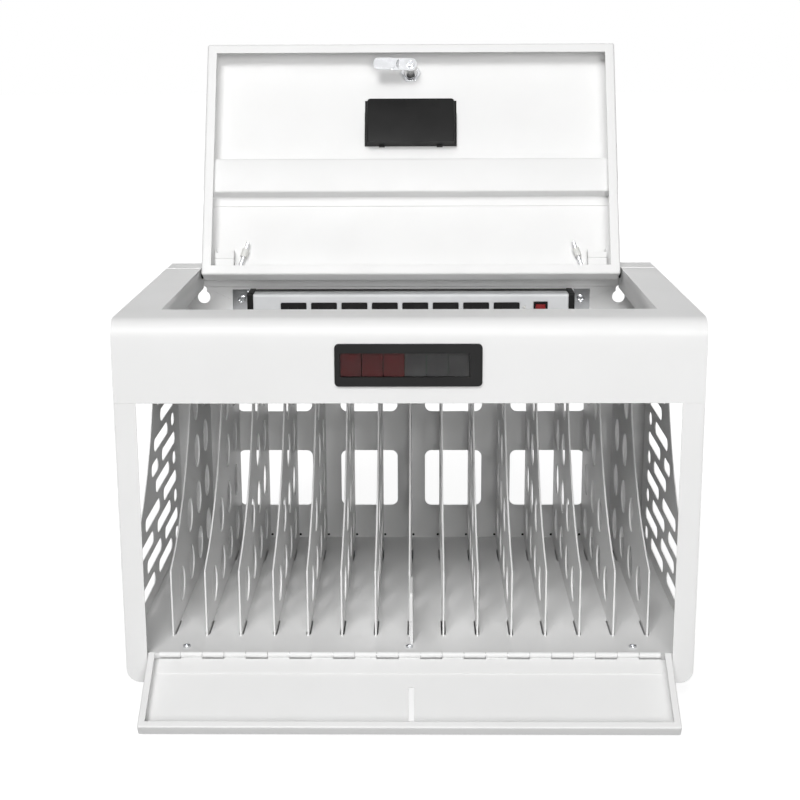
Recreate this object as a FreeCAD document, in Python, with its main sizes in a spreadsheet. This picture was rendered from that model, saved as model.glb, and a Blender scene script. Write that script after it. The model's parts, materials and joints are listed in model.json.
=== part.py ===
import FreeCAD, Part
import math
import os
import re

import Sketcher

# Driving sizes in millimetres and degrees. Heights named "level" are counted from the underside
# of the shell, sizes named "front" from the front face and sizes named "rear" from the back face.
SIZES = {
    # shell
    "width": 660,
    "depth": 432,
    "body_height": 430,
    "sheet": 1.2,
    "base_bend": 16,
    "floor_level": 33,
    "header_height": 95,
    "header_bend": 20,
    "leg_width": 25,
    "leg_return": 28,
    "shelf_flange": 15,
    # feet
    "foot_height": 30,
    "foot_radius": 19,
    "foot_inset_x": 90,
    "foot_inset_y": 60,
    # small turned pieces
    "round_sides": 12,
    "bore_sides": 6,
    "hole_clearance": 0.2,
    # scooped front edges
    "scoop_level": 116,
    "scoop_front": 277,
    "scoop_radius": 326,
    "scoop_run_count": 8,
    "divider_front": 60,
    "side_scoop_shift": 20,
    # slots of the side panels
    "slot_height": 17,
    "slot_length": 105,
    "slot_web": 30,
    "slot_oval": 24,
    "slot_row_pitch": 27.3,
    "slot_level": 58,
    "slot_rear": 42,
    "slot_margin": 26,
    "slot_corner": 5,
    # bays and dividers
    "bay_count": 16,
    "end_bay": 45.8,
    "divider_sheet": 2,
    "divider_hole_radius": 22,
    "divider_hole_sides": 6,
    "divider_hole_pitch_y": 79,
    "divider_hole_pitch_z": 64,
    "divider_hole_rear": 59,
    "divider_hole_level": 72,
    "divider_hole_margin": 14,
    "tab_front": 66,
    "tab_rear": 57,
    "tab_length": 45,
    "tab_drop": 6,
    "tab_clearance": 0.8,
    "cable_slot_near": 20,
    "cable_slot_inset": 60,
    "cable_slot_width": 46,
    "cable_slot_front": 300,
    # back panel
    "window_rise": 48.5,
    "window_drop": 34.5,
    "window_row_gap": 57,
    "window_inner_place": 59.5,
    "window_inner_width": 80,
    "window_outer_place": 192.5,
    "window_outer_width": 105,
    "window_corner": 8,
    "keyhole_inset": 43,
    "keyhole_drop": 47,
    "keyhole_radius": 8.5,
    "keyhole_neck": 4,
    "keyhole_rise": 15,
    # top opening
    "opening_inset": 47,
    "opening_front": 66,
    "opening_rear": 27.5,
    "opening_flange": 30,
    "seam_rear": 49,
    "arm_reach": 12,
    # lid
    "lid_gap": 2,
    "lid_rear_gap": 5.5,
    "lid_height": 30,
    "lid_lip": 13,
    "lid_bend": 4,
    "lid_open_angle": 115,
    "pivot_inset": 8,
    "pivot_drop": 8,
    "stiffener_start": 150,
    "stiffener_face": 48,
    "stiffener_flange": 14,
    "stiffener_height": 20,
    # lid hinge pins
    "rod_radius": 2.5,
    "rod_sides": 8,
    "rod_clearance": 0.05,
    "rod_inset": 49,
    "rod_handle": 44,
    "rod_lean": 13,
    "rod_bend": 8,
    "rod_tip": 6,
    "bush_radius": 4.5,
    "bush_collar_radius": 7.5,
    "bush_collar": 1.4,
    "bracket_inset": 17,
    "bracket_width": 25,
    "bracket_length": 31,
    "bracket_height": 17,
    "collar_radius": 4.6,
    "collar_place": 24,
    "collar_length": 12,
    # pull handle of the lid
    "pull_width": 127,
    "pull_length": 67,
    "pull_front": 72,
    "pull_depth": 20,
    "pull_slope": 18,
    "pull_wall": 2,
    "pull_rim": 5,
    "pull_rim_height": 1.6,
    # cam lock of the lid
    "lock_front": 32,
    "lock_radius": 9,
    "lock_flange_radius": 12,
    "lock_flange": 2,
    "lock_reach": 32,
    "lock_nut_width": 24,
    "lock_nut": 5,
    "nut_sides": 6,
    "plug_radius": 5.5,
    "plug_clearance": 0.05,
    "key_slot_width": 1.6,
    "key_slot_length": 8,
    "key_slot_depth": 4,
    "cam_length": 51,
    "cam_width": 17,
    "cam_sheet": 2,
    "cam_step": 20,
    "cam_overlap": 5,
    "cam_corner": 5,
    "cam_clearance": 0.4,
    # drop flap and its hinge
    "flap_length": 106,
    "flap_start": 4.4,
    "flap_depth": 15,
    "flap_lip": 8,
    "flap_gap": 2,
    "flap_open_angle": 121,
    "flap_slot_low": 43,
    "flap_slot_high": 88,
    "flap_slot_width": 6,
    "knuckle_radius": 3.5,
    "knuckle_length": 25.4,
    "knuckle_gap": 0.4,
    "knuckle_sides": 8,
    "leaf_sheet": 1.2,
    "leaf_reach": 20,
    "hinge_pin_radius": 1.6,
    "hinge_pin_clearance": 0.05,
    # hasp
    "hasp_sheet": 3,
    "hasp_reach": 16,
    "hasp_low": 47,
    "hasp_high": 83,
    "hasp_foot": 36,
    "hasp_length": 70,
    "hasp_corner": 4,
    "padlock_radius": 4.5,
    # display
    "display_width": 164,
    "display_height": 48,
    "display_drop": 51,
    "display_proud": 3,
    "display_corner": 2,
    "display_sleeve_margin": 4,
    "display_sleeve_depth": 14,
    "display_fit": 0.4,
    "pane_left": 76,
    "pane_right": 68,
    "pane_height": 27,
    "pane_sheet": 1.5,
    "digit_count": 6,
    "digit_gap": 0.8,
    "board_sheet": 1.6,
    # power strip
    "strip_length": 428,
    "strip_height": 48,
    "strip_drop": 84,
    "strip_depth": 46,
    "strip_cover_depth": 26,
    "strip_edge": 2,
    "strip_cap": 8,
    "strip_cap_margin": 1,
    "ear_width": 25,
    "ear_height": 44,
    "ear_sheet": 2,
    "ear_return": 22,
    "socket_count": 8,
    "socket_first": 159,
    "socket_pitch": 41.3,
    "socket_width": 35,
    "socket_height": 25,
    "socket_depth": 9,
    "socket_proud": 0.6,
    "switch_place": 176,
    "switch_width": 19,
    "switch_height": 27,
    "switch_frame_wall": 2.6,
    "switch_proud": 1.2,
    "switch_depth": 12,
    "rocker_gap": 0.4,
    "rocker_crown": 2,
    "rocker_angle": 10,
}

# Places that several pieces share, written as sums of the driving sizes.
FRONT = "(-depth / 2)"
BACK = "(depth / 2)"
TOP = "(foot_height + body_height)"
HEADER = "(foot_height + body_height - header_height)"
RIM = "(foot_height + base_bend)"
FLOOR = "(foot_height + floor_level)"
INNER_SIDE = "(width / 2 - sheet)"
INNER_BACK = "(depth / 2 - sheet)"
SEAM = "(depth / 2 - seam_rear)"
BAY_PITCH = "((width / 2 - end_bay) / (bay_count / 2 - 1))"

HINGE_Y = "(-depth / 2 + sheet + knuckle_radius + knuckle_gap)"
FLOOR_FRONT = "(-depth / 2 + sheet + 2 * knuckle_radius + 2 * knuckle_gap)"
FLAP_SIDE = "(width / 2 - leg_width - flap_gap)"
FLAP_SKIN = "(-knuckle_radius - knuckle_gap)"
KNUCKLES = "(2 * floor(%s / knuckle_length - 0.5) + 1)" % FLAP_SIDE
HINGE_SIDE = "(%s * knuckle_length / 2)" % KNUCKLES

PIVOT_Y = "(depth / 2 - opening_rear - lid_rear_gap - pivot_inset)"
PIVOT_Z = "(foot_height + body_height - pivot_drop)"
OPENING_SIDE = "(width / 2 - opening_inset)"
LID_SIDE = "(width / 2 - opening_inset - lid_gap)"
LID_FRONT = "(pivot_inset + lid_rear_gap + lid_gap + opening_front + opening_rear - depth)"
LID_SKIN = "(pivot_drop - sheet)"
LID_LOW = "(pivot_drop - lid_height)"
LOCK_Y = "(%s + lock_front)" % LID_FRONT
CAM_Z = "(pivot_drop - lock_reach)"

STRIP_FRONT = "(depth / 2 - sheet - strip_depth)"
STRIP_LOW = "(foot_height + body_height - strip_drop)"
STRIP_MIDDLE = "(%s + strip_height / 2)" % STRIP_LOW
CAP_SIDE = "(strip_length / 2 + strip_cap)"
DISPLAY_Z = "(foot_height + body_height - display_drop)"

doc = FreeCAD.newDocument("charging_cabinet")
sheet = doc.addObject("Spreadsheet::Sheet", "Sizes")
for row, (alias, number) in enumerate(SIZES.items(), start=1):
    sheet.set("A%d" % row, alias)
    sheet.set("B%d" % row, str(number))
    sheet.setAlias("B%d" % row, alias)
doc.recompute()

NAME = re.compile(r"[a-z][a-z_]*")
sub_parts = []


def bound(text):
    """Expression text with every size name pointing at its cell."""
    return NAME.sub(lambda word: "Sizes." + word.group() if word.group() in SIZES else word.group(), text)


def value(text):
    """Present value of an expression of size names."""
    return float(sheet.evalExpression(text))


def from_front(text):
    return "(-depth / 2 + %s)" % text


def from_back(text):
    return "(depth / 2 - %s)" % text


def level(text):
    return "(foot_height + %s)" % text


def both(text):
    """The same place on the left and on the right."""
    return ["-%s" % text, text]


def new_body(label):
    body = doc.addObject("PartDesign::Body", label)
    body.Label = label
    sub_parts.append(body)
    return body


def sketch(body, plane, at="0"):
    """Sketch on an origin plane, moved along that plane's world axis to the place given."""
    drawing = body.newObject("Sketcher::SketchObject", "Sketch")
    support = next(item for item in body.Origin.OriginFeatures if item.Role == plane + "_Plane")
    drawing.AttachmentSupport = [(support, "")]
    drawing.MapMode = "FlatFace"
    sign = "-1" if plane == "XZ" else "1"
    drawing.setExpression("AttachmentOffset.Base.z", bound("%s * (%s)" % (sign, at)))
    return drawing


def tie(drawing, rows):
    """Add constraints at once; a row is (constraint, text), with text None where no size drives it."""
    indices = drawing.addConstraint([row[0] for row in rows])
    for index, (_, text) in zip(indices, rows):
        if text is not None:
            drawing.setExpression("Constraints[%d]" % index, bound(text))


def pin(axis, geometry, point, text):
    """Row that ties one coordinate of a point to the sheet."""
    kind = ("DistanceX", "DistanceY")[axis]
    return Sketcher.Constraint(kind, -1, 1, geometry, point, value(text)), text


def pin_point(geometry, point, x, y):
    return [pin(0, geometry, point, x), pin(1, geometry, point, y)]


def radius_of(geometry, radius):
    return Sketcher.Constraint("Radius", geometry, value(radius)), radius


def meet(first, first_end, second, second_end):
    return Sketcher.Constraint("Coincident", first, first_end, second, second_end), None


def arc_between(start, stop, radius):
    """Arc that runs anticlockwise from one point to the other and is no more than a half turn."""
    chord = stop - start
    rise = math.sqrt(max(radius ** 2 - (chord.Length / 2) ** 2, 0))
    left = FreeCAD.Vector(-chord.y, chord.x, 0).normalize()
    centre = (start + stop) * 0.5 + left * rise
    angles = [math.atan2(point.y - centre.y, point.x - centre.x) for point in (start, stop)]
    circle = Part.Circle(centre, FreeCAD.Vector(0, 0, 1), radius)
    return Part.ArcOfCircle(circle, angles[0], angles[1])


def loop(drawing, corners):
    """Closed outline. A corner is (x, y), or (x, y, radius) where an arc runs anticlockwise to the next.

    The radius "half" makes a half turn.
    """
    places = [FreeCAD.Vector(value(corner[0]), value(corner[1]), 0) for corner in corners]
    shapes = []
    for number, corner in enumerate(corners):
        start, stop = places[number], places[(number + 1) % len(places)]
        bend = corner[2] if len(corner) == 3 else None
        if bend is None:
            shapes.append(Part.LineSegment(start, stop))
        elif bend == "half":
            shapes.append(arc_between(start, stop, (stop - start).Length / 2))
        else:
            shapes.append(arc_between(start, stop, value(bend)))
    indices = drawing.addGeometry(shapes, False)
    rows = []
    for number, corner in enumerate(corners):
        following = (number + 1) % len(corners)
        rows.append(meet(indices[number], 2, indices[following], 1))
        rows += pin_point(indices[number], 1, corner[0], corner[1])
        if len(corner) == 3 and corner[2] == "half":
            chord = places[following] - places[number]
            axis = 0 if abs(chord.x) < abs(chord.y) else 1
            middle = "(%s + %s) / 2" % (corner[axis], corners[following][axis])
            rows.append(pin(axis, indices[number], 3, middle))
        elif len(corner) == 3:
            rows.append(radius_of(indices[number], corner[2]))
    tie(drawing, rows)


def rectangle(drawing, low_x, high_x, low_y, high_y):
    loop(drawing, [(low_x, low_y), (high_x, low_y), (high_x, high_y), (low_x, high_y)])


def clipped(drawing, low_x, high_x, low_y, high_y, corner):
    """Rectangle with its four corners cut off."""
    in_low_x, in_high_x = "%s + %s" % (low_x, corner), "%s - %s" % (high_x, corner)
    in_low_y, in_high_y = "%s + %s" % (low_y, corner), "%s - %s" % (high_y, corner)
    loop(drawing, [
        (in_low_x, low_y),
        (in_high_x, low_y),
        (high_x, in_low_y),
        (high_x, in_high_y),
        (in_high_x, high_y),
        (in_low_x, high_y),
        (low_x, in_high_y),
        (low_x, in_low_y),
    ])


def disc(drawing, x, y, radius):
    circle = Part.Circle(FreeCAD.Vector(value(x), value(y), 0), FreeCAD.Vector(0, 0, 1), value(radius))
    index = drawing.addGeometry(circle, False)
    tie(drawing, pin_point(index, 3, x, y) + [radius_of(index, radius)])


def polygon(drawing, x, y, radius, sides="round_sides", across_flats=False):
    """Regular polygon by the radius of its corners, or of its flats."""
    count = int(value(sides))
    corner = "%s / cos(180 / %s)" % (radius, sides) if across_flats else radius
    turns = ["((%d + 0.5) * 360 / %s)" % (number, sides) for number in range(count)]
    loop(drawing, [
        ("%s + %s * cos(%s)" % (x, corner, turn), "%s + %s * sin(%s)" % (y, corner, turn))
        for turn in turns
    ])


def feature(body, kind, drawing, length, direction):
    """Pad or pocket along the world axis square to the drawing; direction 0 grows both ways."""
    item = body.newObject("PartDesign::" + kind, kind)
    item.Profile = drawing
    faces_axis = drawing.AttachmentSupport[0][0].Role != "XZ_Plane"
    against = (direction > 0) != faces_axis
    item.Reversed = against if kind == "Pad" else not against
    if direction == 0:
        item.SideType = "Symmetric"
    item.setExpression("Length", bound(length))
    return item


def pad(body, drawing, length, direction=1):
    return feature(body, "Pad", drawing, length, direction)


def pocket(body, drawing, length, direction=1):
    """Cut, which has to take something away."""
    doc.recompute()
    before = body.Shape.Volume
    item = feature(body, "Pocket", drawing, length, direction)
    doc.recompute()
    if body.Shape.Volume > before - 1e-6:
        raise RuntimeError("a cut in %s took nothing away" % body.Label)
    return item


def shell(body, base, openings, wall="sheet"):
    """Hollow a solid to its wall, open at the outermost flat faces that point the ways given."""
    doc.recompute()
    names = []
    for way in openings:
        way = FreeCAD.Vector(*way)
        flat = [
            (face.CenterOfMass.dot(way), "Face%d" % number)
            for number, face in enumerate(base.Shape.Faces, start=1)
            if isinstance(face.Surface, Part.Plane) and face.normalAt(0, 0).dot(way) > 0.99
        ]
        names.append(max(flat)[1])
    hollow = body.newObject("PartDesign::Thickness", "Shell")
    hollow.Base = (base, names)
    hollow.Reversed = True
    hollow.setExpression("Value", bound(wall))
    return hollow


def row_of(body, originals, axis, length, count):
    """Repeat features along an axis of a drawing."""
    doc.recompute()
    pattern = body.newObject("PartDesign::LinearPattern", "Row")
    pattern.Originals = originals
    pattern.Direction = axis
    pattern.setExpression("Length", bound(length))
    pattern.setExpression("Occurrences", bound(count))
    body.Tip = pattern
    return pattern


def place_on_pivot(body, y, z, angle):
    """Turn a piece that was drawn closed, about its pivot along X."""
    body.Placement = FreeCAD.Placement(FreeCAD.Vector(), FreeCAD.Rotation(FreeCAD.Vector(1, 0, 0), 1))
    body.setExpression("Placement.Base.y", bound(y))
    body.setExpression("Placement.Base.z", bound(z))
    body.setExpression("Placement.Rotation.Angle", bound(angle))


def on_lid(body):
    place_on_pivot(body, PIVOT_Y, PIVOT_Z, "-lid_open_angle")


def on_flap(body):
    place_on_pivot(body, HINGE_Y, FLOOR, "flap_open_angle")


def mirrored(label, source):
    """The right-hand twin of a left-hand piece."""
    twin = doc.addObject("Part::Mirroring", label)
    twin.Label = label
    twin.Source = source
    twin.Normal = FreeCAD.Vector(1, 0, 0)
    sub_parts.append(twin)


def foot_places():
    sides = both("(width / 2 - foot_inset_x)")
    ends = both("(depth / 2 - foot_inset_y)")
    return [(x, y) for x in sides for y in ends]


def scoop_centre(shift):
    """Centre of the scoop's arc, as (distance from the front, height above the shell's underside)."""
    low = (value("divider_front") - shift, value("scoop_level"))
    high = (value("scoop_front") - shift, value("body_height - header_height"))
    chord = (high[0] - low[0], high[1] - low[1])
    length = math.hypot(*chord)
    rise = math.sqrt(value("scoop_radius") ** 2 - (length / 2) ** 2)
    middle = ((low[0] + high[0]) / 2, (low[1] + high[1]) / 2)
    return middle[0] - chord[1] / length * rise, middle[1] + chord[0] / length * rise


def scoop_edge(height, shift):
    """Distance of the scooped edge from the front at a height above the shell's underside."""
    if height < value("scoop_level"):
        return value("divider_front") - shift
    centre = scoop_centre(shift)
    return centre[0] + math.sqrt(value("scoop_radius") ** 2 - (height - centre[1]) ** 2)


def scoop_corners(shift):
    """Corners of the short straight runs that follow the scoop's arc from the deck down."""
    centre = scoop_centre(shift)
    radius = value("scoop_radius")
    steps = int(value("scoop_run_count"))
    heights = (value("body_height - header_height"), value("scoop_level"))
    high, low = (math.asin((height - centre[1]) / radius) for height in heights)
    corners = []
    for step in range(1, steps):
        turn = high + (low - high) * step / steps
        place = (centre[0] + radius * math.cos(turn), centre[1] + radius * math.sin(turn))
        corners.append((from_front("%.3f" % place[0]), level("%.3f" % place[1])))
    return corners


# Shell

def base_pan():
    body = new_body("base_pan")
    outline = sketch(body, "XZ")
    loop(outline, [
        ("-width / 2 + base_bend", "foot_height"),
        ("width / 2 - base_bend", "foot_height", "base_bend"),
        ("width / 2", RIM),
        ("-width / 2", RIM, "base_bend"),
    ])
    block = pad(body, outline, "depth", 0)
    shell(body, block, [(0, 0, 1)])


def slot_rows():
    """Rows of a side panel's slots as (height, [(low, high), ...]), brick-wise from back to scoop."""
    rows = []
    count = int(value("(body_height - header_height - slot_level) / slot_row_pitch"))
    for number in range(count):
        height = value("slot_level + %d * slot_row_pitch" % number)
        edge = scoop_edge(height + value("slot_height") / 2, value("side_scoop_shift"))
        limit = max(edge, value("leg_return")) + value("slot_margin")
        high = value("depth - slot_rear")
        length = value("slot_oval") if number % 2 == 0 else value("slot_length")
        slots = []
        while high - limit >= value("slot_oval"):
            low = max(high - length, limit)
            slots.append((low, high))
            high = low - value("slot_web")
            length = value("slot_length")
        rows.append((height, slots))
    return rows


def side_panel():
    """Perforated wall with a scooped front edge; the strip left in front of the scoop is the leg."""
    body = new_body("side_panel_left")
    wall = sketch(body, "YZ", "-width / 2")
    leg_back = from_front("leg_return")
    loop(wall, [
        (FRONT, RIM),
        (BACK, RIM),
        (BACK, HEADER),
        (from_front("scoop_front - side_scoop_shift"), HEADER),
        *scoop_corners(value("side_scoop_shift")),
        (from_front("divider_front - side_scoop_shift"), level("scoop_level")),
        (leg_back, level("scoop_level")),
        (leg_back, HEADER),
        (FRONT, HEADER),
    ])
    pad(body, wall, "sheet")
    leg = sketch(body, "XZ", FRONT)
    rectangle(leg, "-width / 2", "-width / 2 + leg_width", RIM, HEADER)
    pad(body, leg, "sheet")
    for height, slots in slot_rows():
        row = sketch(body, "YZ", "-width / 2")
        middle = level("%.2f" % height)
        for low, high in slots:
            clipped(
                row, from_front("%.2f" % low), from_front("%.2f" % high),
                middle + " - slot_height / 2", middle + " + slot_height / 2", "slot_corner",
            )
        pocket(body, row, "sheet")
    mirrored("side_panel_right", body)


def tab_places():
    """Front and rear ends of the tabs under a divider."""
    return [
        (from_front("tab_front"), from_front("(tab_front + tab_length)")),
        (from_back("(tab_rear + tab_length)"), from_back("tab_rear")),
    ]


def floor_pan():
    """Raised floor on two flanges, slotted for the tabs of the dividers."""
    body = new_body("floor_pan")
    plate = sketch(body, "XY", FLOOR)
    rectangle(plate, "-" + INNER_SIDE, INNER_SIDE, FLOOR_FRONT, INNER_BACK)
    pad(body, plate, "sheet", -1)
    flanges = sketch(body, "XY", FLOOR)
    reach = "(width / 2 - base_bend)"
    rectangle(flanges, "-" + reach, reach, FLOOR_FRONT, FLOOR_FRONT + " + sheet")
    rectangle(flanges, "-" + reach, reach, INNER_BACK + " - sheet", INNER_BACK)
    pad(body, flanges, "floor_level - sheet", -1)
    slots = sketch(body, "XY", FLOOR)
    low_x = "end_bay - width / 2 - divider_sheet / 2 - tab_clearance"
    high_x = "end_bay - width / 2 + divider_sheet / 2 + tab_clearance"
    for low, high in tab_places():
        rectangle(slots, low_x, high_x, low + " - tab_clearance", high + " + tab_clearance")
    cut = pocket(body, slots, "sheet", -1)
    row_of(body, [cut], (slots, ["H_Axis"]), "width - 2 * end_bay", "bay_count - 1")


def shelf():
    """Deck between the bays and the charger room, with two wide cable slots above the bays."""
    body = new_body("shelf")
    profile = sketch(body, "XZ", INNER_BACK)
    loop(profile, [
        ("-" + INNER_SIDE, HEADER),
        (INNER_SIDE, HEADER),
        (INNER_SIDE, HEADER + " + shelf_flange"),
        (INNER_SIDE + " - sheet", HEADER + " + shelf_flange"),
        (INNER_SIDE + " - sheet", HEADER + " + sheet"),
        ("-" + INNER_SIDE + " + sheet", HEADER + " + sheet"),
        ("-" + INNER_SIDE + " + sheet", HEADER + " + shelf_flange"),
        ("-" + INNER_SIDE, HEADER + " + shelf_flange"),
    ])
    pad(body, profile, "depth - 2 * sheet", -1)
    slots = sketch(body, "XY", HEADER)
    low, high = from_front("cable_slot_front"), from_front("(cable_slot_front + cable_slot_width)")
    far = "(width / 2 - cable_slot_inset)"
    rectangle(slots, "cable_slot_near", far, low, high)
    rectangle(slots, "-" + far, "-cable_slot_near", low, high)
    pocket(body, slots, "sheet")


def hood():
    """Front fascia, top frame and upper side walls in one bent sheet."""
    body = new_body("hood")
    profile = sketch(body, "YZ")
    loop(profile, [
        (FRONT, HEADER),
        (SEAM, HEADER),
        (SEAM, TOP),
        (from_front("header_bend"), TOP, "header_bend"),
        (FRONT, TOP + " - header_bend"),
    ])
    block = pad(body, profile, "width", 0)
    shell(body, block, [(0, 0, -1), (0, 1, 0)])
    opening = sketch(body, "XY", TOP)
    rectangle(opening, "-" + OPENING_SIDE, OPENING_SIDE, from_front("opening_front"), SEAM)
    pocket(body, opening, "sheet", -1)
    window = sketch(body, "XZ", FRONT)
    reach = "(display_width / 2 - display_sleeve_margin + display_fit)"
    rise = "(display_height / 2 - display_sleeve_margin + display_fit)"
    rectangle(window, "-" + reach, reach, DISPLAY_Z + " - " + rise, DISPLAY_Z + " + " + rise)
    pocket(body, window, "sheet")


def opening_flange():
    """Strip that hangs from the edge of the top opening on three sides and holds the lid's bushes."""
    body = new_body("opening_flange")
    flange = sketch(body, "XY", TOP + " - sheet")
    arm_end = PIVOT_Y + " + arm_reach"
    loop(flange, [
        (OPENING_SIDE, arm_end),
        (OPENING_SIDE, from_front("opening_front")),
        ("-" + OPENING_SIDE, from_front("opening_front")),
        ("-" + OPENING_SIDE, arm_end),
        ("-" + OPENING_SIDE + " - sheet", arm_end),
        ("-" + OPENING_SIDE + " - sheet", from_front("(opening_front - sheet)")),
        (OPENING_SIDE + " + sheet", from_front("(opening_front - sheet)")),
        (OPENING_SIDE + " + sheet", arm_end),
    ])
    pad(body, flange, "opening_flange - sheet", -1)
    bushes = sketch(body, "YZ")
    polygon(bushes, PIVOT_Y, PIVOT_Z, "(bush_radius + hole_clearance)", across_flats=True)
    pocket(body, bushes, "2 * %s + 4 * sheet" % OPENING_SIDE, 0)


def rear_cap():
    """Channel behind the hood: the rear of the top and of the upper sides, notched for the lid."""
    body = new_body("rear_cap")
    crown = sketch(body, "XZ", INNER_BACK)
    rectangle(crown, "-width / 2", "width / 2", HEADER, TOP)
    block = pad(body, crown, "seam_rear - sheet", -1)
    shell(body, block, [(0, 0, -1), (0, -1, 0), (0, 1, 0)])
    notch = sketch(body, "XY", TOP)
    rectangle(notch, "-" + OPENING_SIDE, OPENING_SIDE, SEAM, from_back("opening_rear"))
    pocket(body, notch, "sheet", -1)


def back_panel():
    """Rear wall with cable windows and hanging keyholes, wider above the deck."""
    body = new_body("back_panel")
    wall = sketch(body, "XZ", BACK)
    loop(wall, [
        ("-" + INNER_SIDE, RIM),
        (INNER_SIDE, RIM),
        (INNER_SIDE, HEADER),
        ("width / 2", HEADER),
        ("width / 2", TOP),
        ("-width / 2", TOP),
        ("-width / 2", HEADER),
        ("-" + INNER_SIDE, HEADER),
    ])
    pad(body, wall, "sheet", -1)
    windows = sketch(body, "XZ", BACK)
    window_height = "((%s - %s - window_rise - window_drop - window_row_gap) / 2)" % (HEADER, FLOOR)
    columns = (("window_inner_place", "window_inner_width"), ("window_outer_place", "window_outer_width"))
    for low in (FLOOR + " + window_rise", "%s - window_drop - %s" % (HEADER, window_height)):
        high = "%s + %s" % (low, window_height)
        for place, size in columns:
            for middle in both(place):
                left, right = "%s - %s / 2" % (middle, size), "%s + %s / 2" % (middle, size)
                clipped(windows, left, right, low, high, "window_corner")
    pocket(body, windows, "sheet", -1)
    heads = sketch(body, "XZ", BACK)
    height = TOP + " - keyhole_drop"
    for middle in both("(width / 2 - keyhole_inset)"):
        disc(heads, middle, height, "keyhole_radius")
    pocket(body, heads, "sheet", -1)
    necks = sketch(body, "XZ", BACK)
    for middle in both("(width / 2 - keyhole_inset)"):
        loop(necks, [
            (middle + " + keyhole_neck", height),
            (middle + " + keyhole_neck", height + " + keyhole_rise - keyhole_neck", "half"),
            (middle + " - keyhole_neck", height + " + keyhole_rise - keyhole_neck"),
            (middle + " - keyhole_neck", height),
        ])
    pocket(body, necks, "sheet", -1)


def feet():
    """Rubber feet under the base pan."""
    body = new_body("feet")
    pads = sketch(body, "XY", "foot_height")
    for x, y in foot_places():
        polygon(pads, x, y, "foot_radius")
    pad(body, pads, "foot_height", -1)


# Bays

def divider_holes():
    """Round holes on a grid from the lower rear corner, wherever they clear the scoop."""
    centre = scoop_centre(0)
    reach = value("divider_hole_radius + divider_hole_margin")
    places = []
    for column in range(int(value("depth / divider_hole_pitch_y"))):
        for row in range(int(value("body_height / divider_hole_pitch_z"))):
            y = value("depth - divider_hole_rear - %d * divider_hole_pitch_y" % column)
            z = value("divider_hole_level + %d * divider_hole_pitch_z" % row)
            under_scoop = z + reach < value("scoop_level") + value("divider_hole_margin")
            behind_scoop = math.hypot(y - centre[0], z - centre[1]) > value("scoop_radius") + reach
            fits_front = y - reach > value("divider_front")
            fits_top = z + reach < value("body_height - header_height")
            if fits_front and fits_top and (under_scoop or behind_scoop):
                places.append((
                    from_back("(divider_hole_rear + %d * divider_hole_pitch_y)" % column),
                    level("divider_hole_level + %d * divider_hole_pitch_z" % row),
                ))
    return places


def dividers():
    """Scooped, perforated plates that stand in the floor's slots, all from the first one."""
    master = new_body("divider_01")
    side = "end_bay - width / 2 - divider_sheet / 2"
    outline = sketch(master, "YZ", side)
    foot = []
    for low, high in tab_places():
        foot += [(low, FLOOR), (low, FLOOR + " - tab_drop"), (high, FLOOR + " - tab_drop"), (high, FLOOR)]
    loop(outline, [
        (from_front("divider_front"), FLOOR),
        *foot,
        (INNER_BACK, FLOOR),
        (INNER_BACK, HEADER),
        (from_front("scoop_front"), HEADER),
        *scoop_corners(0),
        (from_front("divider_front"), level("scoop_level")),
    ])
    pad(master, outline, "divider_sheet")
    holes = sketch(master, "YZ", side)
    for y, z in divider_holes():
        polygon(holes, y, z, "divider_hole_radius", "divider_hole_sides", across_flats=True)
    pocket(master, holes, "divider_sheet")
    for number in range(2, int(value("bay_count"))):
        label = "divider_%02d" % number
        copy = doc.addObject("Part::Compound", label)
        copy.Label = label
        copy.Links = [master]
        copy.setExpression("Placement.Base.x", bound("%d * %s" % (number - 1, BAY_PITCH)))
        sub_parts.append(copy)


def hasp_plate():
    """Plate on the middle divider whose nose passes through the flap for a padlock."""
    body = new_body("hasp_plate")
    side = "divider_sheet / 2"
    outline = sketch(body, "YZ", side)
    nose = from_front("(-hasp_reach)")
    foot = from_front("hasp_foot")
    low, high = FLOOR + " + hasp_low", FLOOR + " + hasp_high"
    rear = from_front("(hasp_foot + hasp_length)")
    loop(outline, [
        (foot, FLOOR),
        (rear, FLOOR),
        (rear, high),
        (nose + " + hasp_corner", high),
        (nose, high + " - hasp_corner"),
        (nose, low + " + hasp_corner"),
        (nose + " + hasp_corner", low),
        (foot, low),
    ])
    pad(body, outline, "hasp_sheet")
    eye = sketch(body, "YZ", side)
    disc(eye, nose + " + hasp_reach / 2", FLOOR + " + (hasp_low + hasp_high) / 2", "padlock_radius")
    pocket(body, eye, "hasp_sheet")


# Drop flap

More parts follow.
